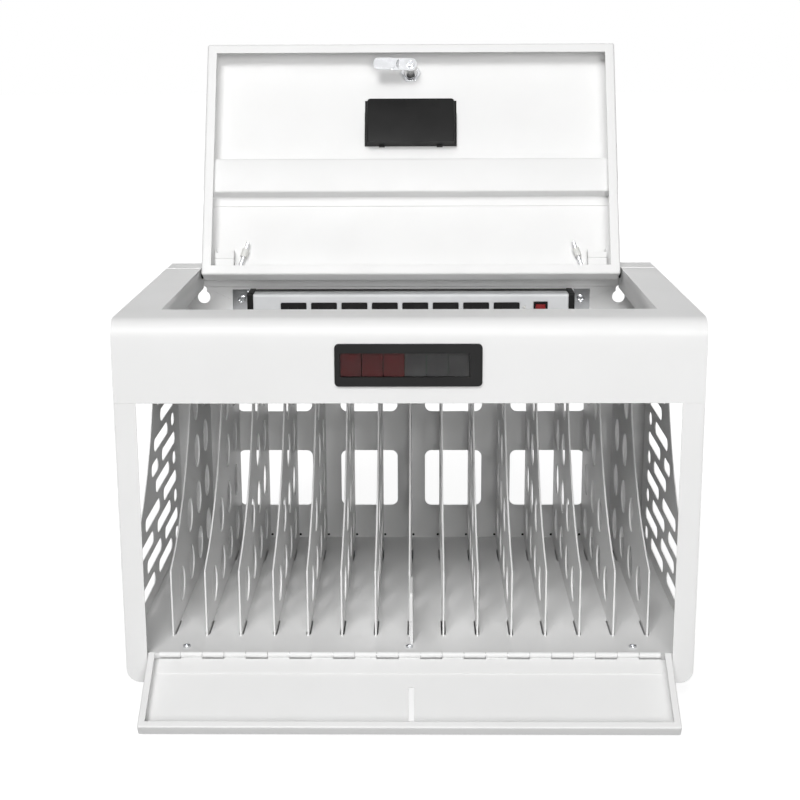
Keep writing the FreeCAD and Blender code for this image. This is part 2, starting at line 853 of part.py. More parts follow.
def knuckle_row(body, first, count, direction):
    """Every second knuckle of the hinge with its neck; direction is the way its leaf leaves the pin."""
    start = "(%d * knuckle_length - %s + knuckle_gap / 2)" % (first, HINGE_SIDE)
    length = "knuckle_length - knuckle_gap"
    barrel = sketch(body, "YZ", start)
    polygon(barrel, "0", "0", "knuckle_radius", "knuckle_sides")
    rolls = pad(body, barrel, length)
    outer = "%d * (knuckle_radius + knuckle_gap)" % direction
    inner = "%d * (knuckle_radius + knuckle_gap - leaf_sheet)" % direction
    end = "%d * flap_start" % -direction
    far = "%d * (flap_start + leaf_reach)" % -direction
    low_y, high_y = (inner, outer) if direction > 0 else (outer, inner)
    neck = sketch(body, "YZ", start)
    rectangle(neck, low_y, high_y, *((end, "0") if direction > 0 else ("0", end)))
    necks = pad(body, neck, length)
    along = next(item for item in body.Origin.OriginFeatures if item.Role == "X_Axis")
    row_of(body, [rolls, necks], (along, [""]), "%d * 2 * knuckle_length" % (count - 1), str(count))
    leaf = sketch(body, "YZ", "-" + HINGE_SIDE)
    rectangle(leaf, low_y, high_y, *((far, end) if direction > 0 else (end, far)))
    pad(body, leaf, "2 * " + HINGE_SIDE)
    bore = sketch(body, "YZ", "-" + HINGE_SIDE)
    polygon(bore, "0", "0", "(hinge_pin_radius + hinge_pin_clearance)", "bore_sides", across_flats=True)
    pocket(body, bore, "2 * " + HINGE_SIDE)


def hinge_leaf_fixed():
    body = new_body("hinge_leaf_fixed")
    knuckle_row(body, 0, int(value("(%s + 1) / 2" % KNUCKLES)), 1)
    body.setExpression("Placement.Base.y", bound(HINGE_Y))
    body.setExpression("Placement.Base.z", bound(FLOOR))


def hinge_leaf_flap():
    body = new_body("hinge_leaf_flap")
    knuckle_row(body, 1, int(value("(%s - 1) / 2" % KNUCKLES)), -1)
    on_flap(body)


def hinge_pin():
    body = new_body("hinge_pin")
    section = sketch(body, "YZ", "-" + HINGE_SIDE)
    disc(section, HINGE_Y, FLOOR, "hinge_pin_radius")
    pad(body, section, "2 * " + HINGE_SIDE)


def flap_tray():
    """Shallow tray with a lipped rim, slotted for the hasp; drawn upright on the hinge pin."""
    body = new_body("flap_tray")
    outer = FLAP_SKIN + " - sheet"
    outline = sketch(body, "XZ", outer)
    rectangle(outline, "-" + FLAP_SIDE, FLAP_SIDE, "flap_start", "flap_length")
    block = pad(body, outline, "flap_depth")
    shell(body, block, [(0, 1, 0), (0, 0, -1)])
    lips = sketch(body, "XZ", outer + " + flap_depth - sheet")
    inner = "(%s - flap_lip)" % FLAP_SIDE
    loop(lips, [
        ("-" + FLAP_SIDE, "flap_start"),
        ("-" + inner, "flap_start"),
        ("-" + inner, "flap_length - flap_lip"),
        (inner, "flap_length - flap_lip"),
        (inner, "flap_start"),
        (FLAP_SIDE, "flap_start"),
        (FLAP_SIDE, "flap_length"),
        ("-" + FLAP_SIDE, "flap_length"),
    ])
    pad(body, lips, "sheet")
    slot = sketch(body, "XZ", outer)
    middle = "(divider_sheet + hasp_sheet) / 2"
    rectangle(
        slot, middle + " - flap_slot_width / 2", middle + " + flap_slot_width / 2",
        "flap_slot_low", "flap_slot_high",
    )
    pocket(body, slot, "sheet")
    on_flap(body)


# Lid

def lid_panel():
    """Tray lid with a return lip all round, drawn closed with its pivot on the X axis."""
    body = new_body("lid_panel")
    profile = sketch(body, "YZ")
    loop(profile, [
        (LID_FRONT, LID_LOW),
        ("pivot_inset", LID_LOW),
        ("pivot_inset", "pivot_drop - lid_bend", "lid_bend"),
        ("pivot_inset - lid_bend", "pivot_drop"),
        (LID_FRONT + " + lid_bend", "pivot_drop", "lid_bend"),
        (LID_FRONT, "pivot_drop - lid_bend"),
    ])
    block = pad(body, profile, "2 * " + LID_SIDE, 0)
    shell(body, block, [(0, 0, -1)])
    lips = sketch(body, "XY", LID_LOW)
    rectangle(lips, "-" + LID_SIDE, LID_SIDE, LID_FRONT, "pivot_inset")
    rectangle(
        lips, "-" + LID_SIDE + " + lid_lip", LID_SIDE + " - lid_lip",
        LID_FRONT + " + lid_lip", "pivot_inset - lid_lip",
    )
    pad(body, lips, "sheet")
    lock = sketch(body, "XY", "pivot_drop")
    polygon(lock, "0", LOCK_Y, "(lock_radius + hole_clearance)", across_flats=True)
    pocket(body, lock, "sheet", -1)
    pull = sketch(body, "XY", "pivot_drop")
    side = "(pull_width / 2 + hole_clearance)"
    start = LID_FRONT + " + pull_front"
    rectangle(pull, "-" + side, side, start + " - hole_clearance", start + " + pull_length + hole_clearance")
    pocket(body, pull, "sheet", -1)
    rods = sketch(body, "YZ")
    polygon(rods, "0", "0", "(rod_radius + hole_clearance)", across_flats=True)
    pocket(body, rods, "2 * " + LID_SIDE, 0)
    on_lid(body)


def lid_stiffener():
    """Hat channel across the inside of the lid."""
    body = new_body("lid_stiffener")
    profile = sketch(body, "YZ")
    start = LID_FRONT + " + stiffener_start"
    top, low = LID_SKIN, LID_SKIN + " - stiffener_height"
    face_start = start + " + stiffener_flange"
    face_end = face_start + " + stiffener_face"
    end = face_end + " + stiffener_flange"
    loop(profile, [
        (start, top),
        (start, top + " - sheet"),
        (face_start, top + " - sheet"),
        (face_start, low),
        (face_end, low),
        (face_end, top + " - sheet"),
        (end, top + " - sheet"),
        (end, top),
        (face_end + " - sheet", top),
        (face_end + " - sheet", low + " + sheet"),
        (face_start + " + sheet", low + " + sheet"),
        (face_start + " + sheet", top),
    ])
    pad(body, profile, "2 * (%s - sheet)" % LID_SIDE, 0)
    on_lid(body)


def lid_brackets():
    """Channels inside the lid that carry the hinge pins in both of their cheeks."""
    body = new_body("lid_bracket_left")
    near = "(bracket_inset - %s)" % LID_SIDE
    far = "(bracket_inset + bracket_width - %s)" % LID_SIDE
    low = LID_SKIN + " - bracket_height"
    profile = sketch(body, "XZ", "pivot_inset - lid_bend")
    loop(profile, [
        (near, LID_SKIN),
        (near, low),
        (near + " + sheet", low),
        (near + " + sheet", LID_SKIN + " - sheet"),
        (far + " - sheet", LID_SKIN + " - sheet"),
        (far + " - sheet", low),
        (far, low),
        (far, LID_SKIN),
    ])
    pad(body, profile, "bracket_length + pivot_inset - lid_bend", -1)
    bore = sketch(body, "YZ", near)
    polygon(bore, "0", "0", "(rod_radius + hole_clearance)", across_flats=True)
    pocket(body, bore, "bracket_width")
    on_lid(body)
    mirrored("lid_bracket_right", body)


ROD_LEAN = "atan(rod_lean / rod_handle)"
ROD_CORNER = "(rod_inset - %s)" % OPENING_SIDE
ROD_RUN = "(rod_bend * tan(45 deg - %s / 2))" % ROD_LEAN


def lid_pins():
    """Bent rods: a straight leg through the bush and a leaning handle along the lid."""
    body = new_body("lid_pin_left")
    tip = "-(%s + sheet + rod_tip)" % OPENING_SIDE
    bend_x = ROD_CORNER + " - " + ROD_RUN
    handle_x = "%s + %s * sin(%s)" % (ROD_CORNER, ROD_RUN, ROD_LEAN)
    handle_y = "-%s * cos(%s)" % (ROD_RUN, ROD_LEAN)
    end_x, end_y = ROD_CORNER + " + rod_lean", "-rod_handle"
    places = [
        FreeCAD.Vector(value(x), value(y), 0)
        for x, y in ((tip, "0"), (bend_x, "0"), (handle_x, handle_y), (end_x, end_y))
    ]
    path = sketch(body, "XY")
    leg, bend, handle = path.addGeometry([
        Part.LineSegment(places[0], places[1]),
        arc_between(places[2], places[1], value("rod_bend")),
        Part.LineSegment(places[2], places[3]),
    ], False)
    tie(path, [
        meet(leg, 2, bend, 2),
        meet(bend, 1, handle, 1),
        *pin_point(leg, 1, tip, "0"),
        *pin_point(leg, 2, bend_x, "0"),
        *pin_point(handle, 1, handle_x, handle_y),
        *pin_point(handle, 2, end_x, end_y),
        radius_of(bend, "rod_bend"),
    ])
    section = sketch(body, "YZ", tip)
    polygon(section, "0", "0", "rod_radius", "rod_sides")
    doc.recompute()
    rod = body.newObject("PartDesign::AdditivePipe", "Rod")
    rod.Profile = section
    rod.Spine = (path, ["Edge1", "Edge2", "Edge3"])
    on_lid(body)
    mirrored("lid_pin_right", body)


def lid_collars():
    """Nylon sleeves gripped on the handles of the hinge pins, drawn along the handle."""
    body = new_body("lid_collar_left")
    ring = sketch(body, "XZ", "-collar_place")
    polygon(ring, "0", "0", "collar_radius")
    polygon(ring, "0", "0", "(rod_radius + rod_clearance)", across_flats=True)
    pad(body, ring, "collar_length", -1)
    lid = "placement(vector(0; %s; %s); rotation(vector(1; 0; 0); -lid_open_angle))" % (PIVOT_Y, PIVOT_Z)
    lean = "placement(vector(%s; 0; 0); rotation(vector(0; 0; 1); %s))" % (ROD_CORNER, ROD_LEAN)
    body.setExpression("Placement", bound("%s * %s" % (lid, lean)))
    mirrored("lid_collar_right", body)


def lid_bushes():
    """Flanged bushes for the hinge pins, in the flanges beside the top opening."""
    body = new_body("lid_bushes")
    for side in (-1, 1):
        collar = sketch(body, "YZ", "%d * %s" % (side, OPENING_SIDE))
        polygon(collar, PIVOT_Y, PIVOT_Z, "bush_collar_radius")
        pad(body, collar, "bush_collar", -side)
        sleeve = sketch(body, "YZ", "%d * %s" % (side, OPENING_SIDE))
        polygon(sleeve, PIVOT_Y, PIVOT_Z, "bush_radius")
        pad(body, sleeve, "sheet + rod_tip", side)
    bore = sketch(body, "YZ")
    disc(bore, PIVOT_Y, PIVOT_Z, "(rod_radius + rod_clearance)")
    pocket(body, bore, "2 * (%s + sheet + rod_tip)" % OPENING_SIDE, 0)


def lid_pull():
    """Recessed pull: a cup with one sloping end and a rim on the outside of the lid."""
    body = new_body("lid_pull")
    start = LID_FRONT + " + pull_front"
    end = start + " + pull_length"
    profile = sketch(body, "YZ")
    loop(profile, [
        (start, "pivot_drop"),
        (start, "pivot_drop - pull_depth / 2"),
        (start + " + pull_slope", "pivot_drop - pull_depth"),
        (end, "pivot_drop - pull_depth"),
        (end, "pivot_drop"),
    ])
    block = pad(body, profile, "pull_width", 0)
    shell(body, block, [(0, 0, 1)], "pull_wall")
    rim = sketch(body, "XY", "pivot_drop")
    side = "(pull_width / 2 + pull_rim)"
    clipped(rim, "-" + side, side, start + " - pull_rim", end + " + pull_rim", "pull_rim")
    mouth = "(pull_width / 2 - pull_wall)"
    rectangle(rim, "-" + mouth, mouth, start + " + pull_wall", end + " - pull_wall")
    pad(body, rim, "pull_rim_height")
    on_lid(body)


def lock_body():
    """Lock barrel with its outer flange, bored for the plug."""
    body = new_body("lock_body")
    flange = sketch(body, "XY", "pivot_drop")
    polygon(flange, "0", LOCK_Y, "lock_flange_radius")
    pad(body, flange, "lock_flange")
    barrel = sketch(body, "XY", "pivot_drop")
    polygon(barrel, "0", LOCK_Y, "lock_radius")
    pad(body, barrel, "lock_reach", -1)
    bore = sketch(body, "XY", "pivot_drop + lock_flange")
    polygon(bore, "0", LOCK_Y, "(plug_radius + plug_clearance)", across_flats=True)
    pocket(body, bore, "lock_reach + lock_flange", -1)
    on_lid(body)


def lock_nut():
    body = new_body("lock_nut")
    ring = sketch(body, "XY", LID_SKIN)
    polygon(ring, "0", LOCK_Y, "(lock_nut_width / 2)", "nut_sides", across_flats=True)
    polygon(ring, "0", LOCK_Y, "(lock_radius + hole_clearance)", across_flats=True)
    pad(body, ring, "lock_nut", -1)
    on_lid(body)


def lock_plug():
    """Turning plug with a key slot in its outer end."""
    body = new_body("lock_plug")
    plug = sketch(body, "XY", "pivot_drop + lock_flange")
    disc(plug, "0", LOCK_Y, "plug_radius")
    pad(body, plug, "lock_reach + lock_flange + cam_clearance", -1)
    key = sketch(body, "XY", "pivot_drop + lock_flange")
    rectangle(
        key, "-key_slot_width / 2", "key_slot_width / 2",
        LOCK_Y + " - key_slot_length / 2", LOCK_Y + " + key_slot_length / 2",
    )
    pocket(body, key, "key_slot_depth", -1)
    on_lid(body)


def lock_cam():
    """Stepped cam that points along the lid's front edge until the key turns it under the hood."""
    body = new_body("lock_cam")
    top = "(%s - cam_clearance)" % CAM_Z
    low_y, high_y = LOCK_Y + " - cam_width / 2", LOCK_Y + " + cam_width / 2"
    root = sketch(body, "XY", top)
    clipped(root, "-cam_step", "cam_width / 2", low_y, high_y, "cam_corner")
    pad(body, root, "cam_sheet", -1)
    tip = sketch(body, "XY", top + " - cam_sheet")
    clipped(tip, "-cam_length", "-cam_step + cam_overlap", low_y, high_y, "cam_corner")
    pad(body, tip, "cam_sheet", -1)
    on_lid(body)


# Display

def display_bezel():
    """Frame on the fascia with a sleeve through its cut-out."""
    body = new_body("display_bezel")
    frame = sketch(body, "XZ", FRONT)
    half, rise = "(display_width / 2)", "(display_height / 2)"
    clipped(frame, "-" + half, half, DISPLAY_Z + " - " + rise, DISPLAY_Z + " + " + rise, "display_corner")
    pad(body, frame, "display_proud", -1)
    sleeve = sketch(body, "XZ", FRONT)
    half = "(display_width / 2 - display_sleeve_margin)"
    rise = "(display_height / 2 - display_sleeve_margin)"
    rectangle(sleeve, "-" + half, half, DISPLAY_Z + " - " + rise, DISPLAY_Z + " + " + rise)
    pad(body, sleeve, "display_sleeve_depth")
    mouth = sketch(body, "XZ", FRONT + " - display_proud")
    rectangle(
        mouth, "-pane_left", "pane_right",
        DISPLAY_Z + " - pane_height / 2", DISPLAY_Z + " + pane_height / 2",
    )
    pocket(body, mouth, "display_proud + display_sleeve_depth")


def display_pane():
    body = new_body("display_pane")
    pane = sketch(body, "XZ", FRONT)
    rectangle(
        pane, "-pane_left", "pane_right",
        DISPLAY_Z + " - pane_height / 2", DISPLAY_Z + " + pane_height / 2",
    )
    pad(body, pane, "pane_sheet", -1)


def digits(label, numbers):
    """Digit blocks between the pane and the board."""
    body = new_body(label)
    pitch = "((pane_left + pane_right) / digit_count)"
    blocks = sketch(body, "XZ", FRONT)
    for number in numbers:
        rectangle(
            blocks, "-pane_left + %d * %s + digit_gap / 2" % (number, pitch),
            "-pane_left + %d * %s - digit_gap / 2" % (number + 1, pitch),
            DISPLAY_Z + " - pane_height / 2 + digit_gap", DISPLAY_Z + " + pane_height / 2 - digit_gap",
        )
    pad(body, blocks, "display_sleeve_depth")


def display_board():
    body = new_body("display_board")
    board = sketch(body, "XZ", FRONT + " + display_sleeve_depth")
    half = "(display_width / 2 - display_sleeve_margin)"
    rise = "(display_height / 2 - display_sleeve_margin)"
    rectangle(board, "-" + half, half, DISPLAY_Z + " - " + rise, DISPLAY_Z + " + " + rise)
    pad(body, board, "board_sheet")


# Power strip

def socket_places():
    return ["(%d * socket_pitch - socket_first)" % number for number in range(int(value("socket_count")))]


def strip_base():
    body = new_body("strip_base")
    base = sketch(body, "XZ", INNER_BACK)
    rectangle(base, "-strip_length / 2", "strip_length / 2", STRIP_LOW, STRIP_LOW + " + strip_height")
    pad(body, base, "strip_depth - strip_cover_depth", -1)


def strip_cover():
    """Front cover with bevelled long edges and wells for the sockets and the switch."""
    body = new_body("strip_cover")
    profile = sketch(body, "YZ")
    rear = STRIP_FRONT + " + strip_cover_depth"
    high = STRIP_LOW + " + strip_height"
    loop(profile, [
        (STRIP_FRONT + " + strip_edge", STRIP_LOW),
        (rear, STRIP_LOW),
        (rear, high),
        (STRIP_FRONT + " + strip_edge", high),
        (STRIP_FRONT, high + " - strip_edge"),
        (STRIP_FRONT, STRIP_LOW + " + strip_edge"),
    ])
    pad(body, profile, "strip_length", 0)
    wells = sketch(body, "XZ", STRIP_FRONT)
    for middle in socket_places():
        rectangle(
            wells, middle + " - socket_width / 2", middle + " + socket_width / 2",
            STRIP_MIDDLE + " - socket_height / 2", STRIP_MIDDLE + " + socket_height / 2",
        )
    pocket(body, wells, "socket_depth")
    switch = sketch(body, "XZ", STRIP_FRONT)
    rectangle(
        switch, "switch_place - switch_width / 2", "switch_place + switch_width / 2",
        STRIP_MIDDLE + " - switch_height / 2", STRIP_MIDDLE + " + switch_height / 2",
    )
    pocket(body, switch, "switch_depth")


def strip_caps():
    """Dark end caps that stand a little proud of the strip."""
    body = new_body("strip_caps")
    for side in (-1, 1):
        cap = sketch(body, "YZ", "%d * strip_length / 2" % side)
        rectangle(
            cap, STRIP_FRONT + " - strip_cap_margin", INNER_BACK,
            STRIP_LOW + " - strip_cap_margin", STRIP_LOW + " + strip_height + strip_cap_margin",
        )
        pad(body, cap, "strip_cap", side)


def strip_ears():
    """Angle ears that hold the strip's end caps to the back panel."""
    body = new_body("strip_ears")
    high = STRIP_LOW + " + strip_height"
    plates = sketch(body, "XZ", INNER_BACK)
    returns = sketch(body, "XZ", INNER_BACK)
    for side in (-1, 1):
        near, far = "%d * %s" % (side, CAP_SIDE), "%d * (%s + ear_width)" % (side, CAP_SIDE)
        fold = "%d * (%s + ear_sheet)" % (side, CAP_SIDE)
        low_x, high_x = (near, far) if side > 0 else (far, near)
        rectangle(plates, low_x, high_x, high + " - ear_height", high)
        low_x, high_x = (near, fold) if side > 0 else (fold, near)
        rectangle(returns, low_x, high_x, high + " - ear_height", high)
    pad(body, plates, "ear_sheet", -1)
    pad(body, returns, "ear_return", -1)


def sockets():
    body = new_body("sockets")
    blocks = sketch(body, "XZ", STRIP_FRONT + " - socket_proud")
    for middle in socket_places():
        rectangle(
            blocks, middle + " - socket_width / 2", middle + " + socket_width / 2",
            STRIP_MIDDLE + " - socket_height / 2", STRIP_MIDDLE + " + socket_height / 2",
        )
    pad(body, blocks, "socket_depth + socket_proud")


def switch_frame():
    body = new_body("switch_frame")
    face = STRIP_FRONT + " - switch_proud"
    frame = sketch(body, "XZ", face)
    rectangle(
        frame, "switch_place - switch_width / 2", "switch_place + switch_width / 2",
        STRIP_MIDDLE + " - switch_height / 2", STRIP_MIDDLE + " + switch_height / 2",
    )
    pad(body, frame, "switch_depth + switch_proud")
    mouth = sketch(body, "XZ", face)
    half, rise = "(switch_width / 2 - switch_frame_wall)", "(switch_height / 2 - switch_frame_wall)"
    rectangle(
        mouth, "switch_place - " + half, "switch_place + " + half,
        STRIP_MIDDLE + " - " + rise, STRIP_MIDDLE + " + " + rise,
    )
    pocket(body, mouth, "switch_depth + switch_proud - switch_frame_wall")


def rocker():
    """Rocker in the switch frame, a wedge that stands off at one end."""
    body = new_body("rocker")
    half = "(switch_width / 2 - switch_frame_wall - rocker_gap)"
    rise = "(switch_height / 2 - switch_frame_wall - 3 * rocker_gap)"
    side = sketch(body, "YZ", "-" + half)
    loop(side, [
        ("0", "-" + rise),
        ("rocker_crown + switch_proud", "-" + rise),
        ("rocker_crown + 3 * switch_proud", "0"),
        ("rocker_crown + switch_proud", rise),
        ("0", rise),
        ("rocker_crown / 2", "0"),
    ])
    pad(body, side, "2 * " + half)
    body.Placement = FreeCAD.Placement(FreeCAD.Vector(), FreeCAD.Rotation(FreeCAD.Vector(1, 0, 0), 1))
    body.setExpression("Placement.Base.x", bound("switch_place"))
    body.setExpression("Placement.Base.y", bound(STRIP_FRONT))
    body.setExpression("Placement.Base.z", bound(STRIP_MIDDLE))
    body.setExpression("Placement.Rotation.Angle", bound("rocker_angle"))


def build():
    base_pan()
    side_panel()
    floor_pan()
    shelf()
    hood()
    opening_flange()
    rear_cap()
    back_panel()
    feet()
    dividers()
    hasp_plate()
    hinge_leaf_fixed()
    hinge_pin()
    flap_tray()
    hinge_leaf_flap()
    lid_panel()
    lid_stiffener()
    lid_brackets()
    lid_pins()
    lid_collars()
    lid_bushes()
    lid_pull()
    lock_body()
    lock_nut()
    lock_plug()
    lock_cam()
    display_bezel()
    display_pane()
    half = int(value("digit_count / 2"))
    digits("digits_red", range(half))
    digits("digits_grey", range(half, 2 * half))
    display_board()
    strip_base()
    strip_cover()
    strip_caps()
    strip_ears()
    sockets()
    switch_frame()
    rocker()


def write():
    doc.recompute()
    for item in doc.Objects:
        if "Invalid" in item.State or "Error" in item.State:
            raise RuntimeError("%s failed: %s" % (item.Label, item.State))
    for item in sub_parts:
        if item.Shape.isNull() or not item.Shape.isValid() or not item.Shape.Solids:
            raise RuntimeError("%s has no valid solid" % item.Label)
    os.makedirs("parts", exist_ok=True)
    for item in sub_parts:
        item.Shape.exportStep("parts/%s.step" % item.Label)


build()
write()
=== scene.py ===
# %% [markdown]
# # A device charging cabinet
# A white sheet-steel cabinet that stores laptops on edge between perforated dividers. The lid over
# the charger room leans back and the flap in front hangs down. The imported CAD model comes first: it
# gives every body its place, and each piece below rides on one of those bodies.

# %% Load the frame
import json
import math

import bmesh
import bpy
from mathutils import Matrix, Vector


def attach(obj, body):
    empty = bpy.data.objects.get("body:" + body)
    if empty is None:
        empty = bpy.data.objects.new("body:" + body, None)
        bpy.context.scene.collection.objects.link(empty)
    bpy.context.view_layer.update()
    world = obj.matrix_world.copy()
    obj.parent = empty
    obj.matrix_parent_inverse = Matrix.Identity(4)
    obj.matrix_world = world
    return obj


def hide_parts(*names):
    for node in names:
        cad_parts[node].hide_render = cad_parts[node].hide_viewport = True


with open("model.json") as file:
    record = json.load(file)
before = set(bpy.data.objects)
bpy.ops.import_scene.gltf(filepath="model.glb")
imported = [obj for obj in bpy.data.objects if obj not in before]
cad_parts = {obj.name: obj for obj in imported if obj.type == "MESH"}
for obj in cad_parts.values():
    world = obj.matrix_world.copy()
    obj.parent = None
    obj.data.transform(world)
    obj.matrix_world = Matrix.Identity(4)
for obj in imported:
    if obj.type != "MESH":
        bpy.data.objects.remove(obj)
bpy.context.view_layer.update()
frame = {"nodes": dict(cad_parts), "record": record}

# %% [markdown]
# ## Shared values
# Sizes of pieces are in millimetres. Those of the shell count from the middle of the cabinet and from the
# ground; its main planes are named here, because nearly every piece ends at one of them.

nodes = frame["nodes"]
scene = bpy.context.scene
MM = 0.001
SHEET = 1.2
HALF_WIDTH, FRONT, BACK = 330, -216, 216
BASE_Z, RIM_Z, FLOOR_Z, DECK_Z, TOP = 30, 46, 63, 365, 460

# %% [markdown]
# ## Camera
# A product photograph is taken from some two metres away with a longish lens. The focal length and the
# tilt below were solved from the corners of the shell, so that edges fall where the picture has them.

# %% Camera
FRAME_PIXELS = 800
FOCAL_PIXELS = 1502.7
SENSOR_WIDTH = 36.0
CAMERA_PLACE = Vector((0.0141, -1.8434, 0.7595))
CAMERA_PITCH, CAMERA_YAW, CAMERA_ROLL = (math.radians(angle) for angle in (13.49, -0.83, -0.25))

lens = bpy.data.cameras.new("photo_camera")
lens.sensor_fit = "HORIZONTAL"
lens.sensor_width = SENSOR_WIDTH
lens.lens = FOCAL_PIXELS / FRAME_PIXELS * SENSOR_WIDTH
camera = bpy.data.objects.new("photo_camera", lens)
scene.collection.objects.link(camera)
heading = Matrix.Rotation(-CAMERA_YAW, 4, "Z")
tilt = Matrix.Rotation(math.pi / 2 - CAMERA_PITCH, 4, "X")
roll = Matrix.Rotation(CAMERA_ROLL, 4, "Z")
camera.matrix_world = Matrix.Translation(CAMERA_PLACE) @ heading @ tilt @ roll
scene.camera = camera
print("lens", round(lens.lens, 2), "mm")

# %% [markdown]
# ## Studio world
# The world shows pure white only to the camera, to mirrors and through glass, so the white around the
# object doesn't light it. A strength that depends on the kind of ray does this in one shader. The first two
# functions serve all the shader trees below.

# %% Studio world
scene.view_settings.view_transform = "Standard"


def feed(tree, node, inputs):
    """Set inputs of a node by name or number; a value that is a socket is linked."""
    for key, value in inputs.items():
        if isinstance(value, bpy.types.NodeSocket):
            tree.links.new(value, node.inputs[key])
        else:
            node.inputs[key].default_value = value


def add(tree, kind, inputs=None, **settings):
    """New shader node with its settings and inputs."""
    node = tree.nodes.new("ShaderNode" + kind)
    for key, value in settings.items():
        setattr(node, key, value)
    feed(tree, node, inputs or {})
    return node


def seen_directly(tree):
    """Value that is 1 on rays from the camera, from a mirror or through glass."""
    path = add(tree, "LightPath")
    total = path.outputs["Is Camera Ray"]
    for way in ("Is Glossy Ray", "Is Transmission Ray"):
        total = add(tree, "Math", {0: total, 1: path.outputs[way]}, operation="MAXIMUM").outputs[0]
    return total


WORLD_LIGHT = 0.07
world = bpy.data.worlds.new("studio_world")
world.use_nodes = True
scene.world = world
tree = world.node_tree
spread = add(tree, "MapRange", {"Value": seen_directly(tree), "To Min": WORLD_LIGHT, "To Max": 1.0})
feed(tree, tree.nodes["Background"], {"Color": (1, 1, 1, 1), "Strength": spread.outputs[0]})
print("world light:", WORLD_LIGHT)

# %% [markdown]
# ## Studio floor
# The floor is a large matt sheet that also glows white for the camera. The glow is a little weaker near the
# object, which keeps its shadow in sight, and grows outwards in a circle so that no edge shows.

# %% Studio floor
FLOOR_TONE = (0.4, 0.4, 0.4, 1)
GLOW_NEAR, GLOW_FAR, GLOW_START, GLOW_END = 0.88, 1.0, 0.5, 1.4
floor_paint = bpy.data.materials.new("studio_floor")
floor_paint.use_nodes = True
tree = floor_paint.node_tree
tree.nodes.clear()
place = add(tree, "TexCoord")
reach = add(tree, "VectorMath", {0: place.outputs["Object"]}, operation="LENGTH")
ramp = add(tree, "MapRange", {"Value": reach.outputs["Value"], "From Min": GLOW_START, "From Max": GLOW_END,
                              "To Min": GLOW_NEAR, "To Max": GLOW_FAR})
lit = add(tree, "Math", {0: ramp.outputs[0], 1: seen_directly(tree)}, operation="MULTIPLY")
glow = add(tree, "Emission", {"Strength": lit.outputs[0]})
matt = add(tree, "BsdfDiffuse", {"Color": FLOOR_TONE})
both = add(tree, "AddShader", {0: matt.outputs[0], 1: glow.outputs[0]})
add(tree, "OutputMaterial", {"Surface": both.outputs[0]})

FLOOR_REACH = 20.0
ground = bmesh.new()
bmesh.ops.create_grid(ground, x_segments=1, y_segments=1, size=FLOOR_REACH)
floor_mesh = bpy.data.meshes.new("studio_floor")
ground.to_mesh(floor_mesh)
ground.free()
floor_mesh.materials.append(floor_paint)
floor = bpy.data.objects.new("studio_floor", floor_mesh)
scene.collection.objects.link(floor)
print("floor reach:", FLOOR_REACH, "m")

# %% [markdown]
# ## Lamps
# Two large soft lamps stand far in front, a weaker one hangs above and one stands behind. Their strengths
# were matched to the greys of the shell. The lamp above hangs where the plated lock would mirror it, so
# glossy rays don't see it.

# %% Lamps
# Name, place, size in metres, watts, and whether mirrors show it.
LAMPS = (
    ("key_lamp", (-1.3, -6.2, 5.2), 2.4, 270, True),
    ("fill_lamp", (1.2, -6.8, 2.0), 2.4, 180, True),
    ("high_lamp", (-0.3, -1.9, 3.1), 1.8, 18, False),
    ("back_lamp", (0.0, 6.0, 0.9), 1.6, 60, True),
)
LAMP_AIM = Vector((0, 0, 0.35))
for name, place, size, watts, mirrored in LAMPS:
    lamp = bpy.data.lights.new(name, "AREA")
    lamp.size = size
    lamp.energy = watts
    holder = bpy.data.objects.new(name, lamp)
    holder.location = place
    holder.visible_glossy = mirrored
    holder.rotation_euler = (LAMP_AIM - Vector(place)).to_track_quat("-Z", "Y").to_euler()
    scene.collection.objects.link(holder)
print("lamps:", len(LAMPS))

# %% [markdown]
# ## Shared effect: tone
# No real coat has one even colour. This node group spreads soft patches between a clean and a dull colour.
# It is built once, and each material places it with its own colours and scale.

# %% Tone group
TONE_LOW, TONE_HIGH, TONE_DETAIL = 0.35, 0.75, 5
# Sockets of the Mix node when it mixes colours.
COLOUR_A, COLOUR_B, COLOUR_RESULT = 6, 7, 2


def effect(name, inputs, outputs):
    """Empty shader group with its sockets; inputs and outputs are (name, kind) pairs."""
    group = bpy.data.node_groups.new(name, "ShaderNodeTree")
    for side, sockets in (("INPUT", inputs), ("OUTPUT", outputs)):
        for label, kind in sockets:
            group.interface.new_socket(name=label, in_out=side, socket_type="NodeSocket" + kind)
    return group, group.nodes.new("NodeGroupInput"), group.nodes.new("NodeGroupOutput")


def cloud(group, place, scale, detail):
    """Noise on the place given; scale is a number or a socket."""
    return add(group, "TexNoise", {"Vector": place, "Scale": scale, "Detail": detail}).outputs["Fac"]


tone, given, result = effect(
    "tone", (("Clean", "Color"), ("Dull", "Color"), ("Scale", "Float")), (("Color", "Color"),))
spot = add(tone, "TexCoord")
patches = cloud(tone, spot.outputs["Object"], given.outputs["Scale"], TONE_DETAIL)
mask = add(tone, "MapRange", {"Value": patches, "From Min": TONE_LOW, "From Max": TONE_HIGH})
blend = add(tone, "Mix", {"Factor": mask.outputs[0], COLOUR_A: given.outputs["Clean"],
                          COLOUR_B: given.outputs["Dull"]}, data_type="RGBA")
feed(tone, result, {"Color": blend.outputs[COLOUR_RESULT]})
print("group:", tone.name)

# %% [markdown]
# ## Shared effect: grain
# Close up, paint, plating and moulded plastic show fine bumps and a gloss that varies. The second group
# puts out both. Stretching its coordinates turns round grain into the lines that rolling leaves on steel.

# %% Grain group
GRAIN_DETAIL = 3
GLOSS_LOW, GLOSS_HIGH, GLOSS_SCALE, GLOSS_DETAIL = 0.3, 0.7, 22, 4

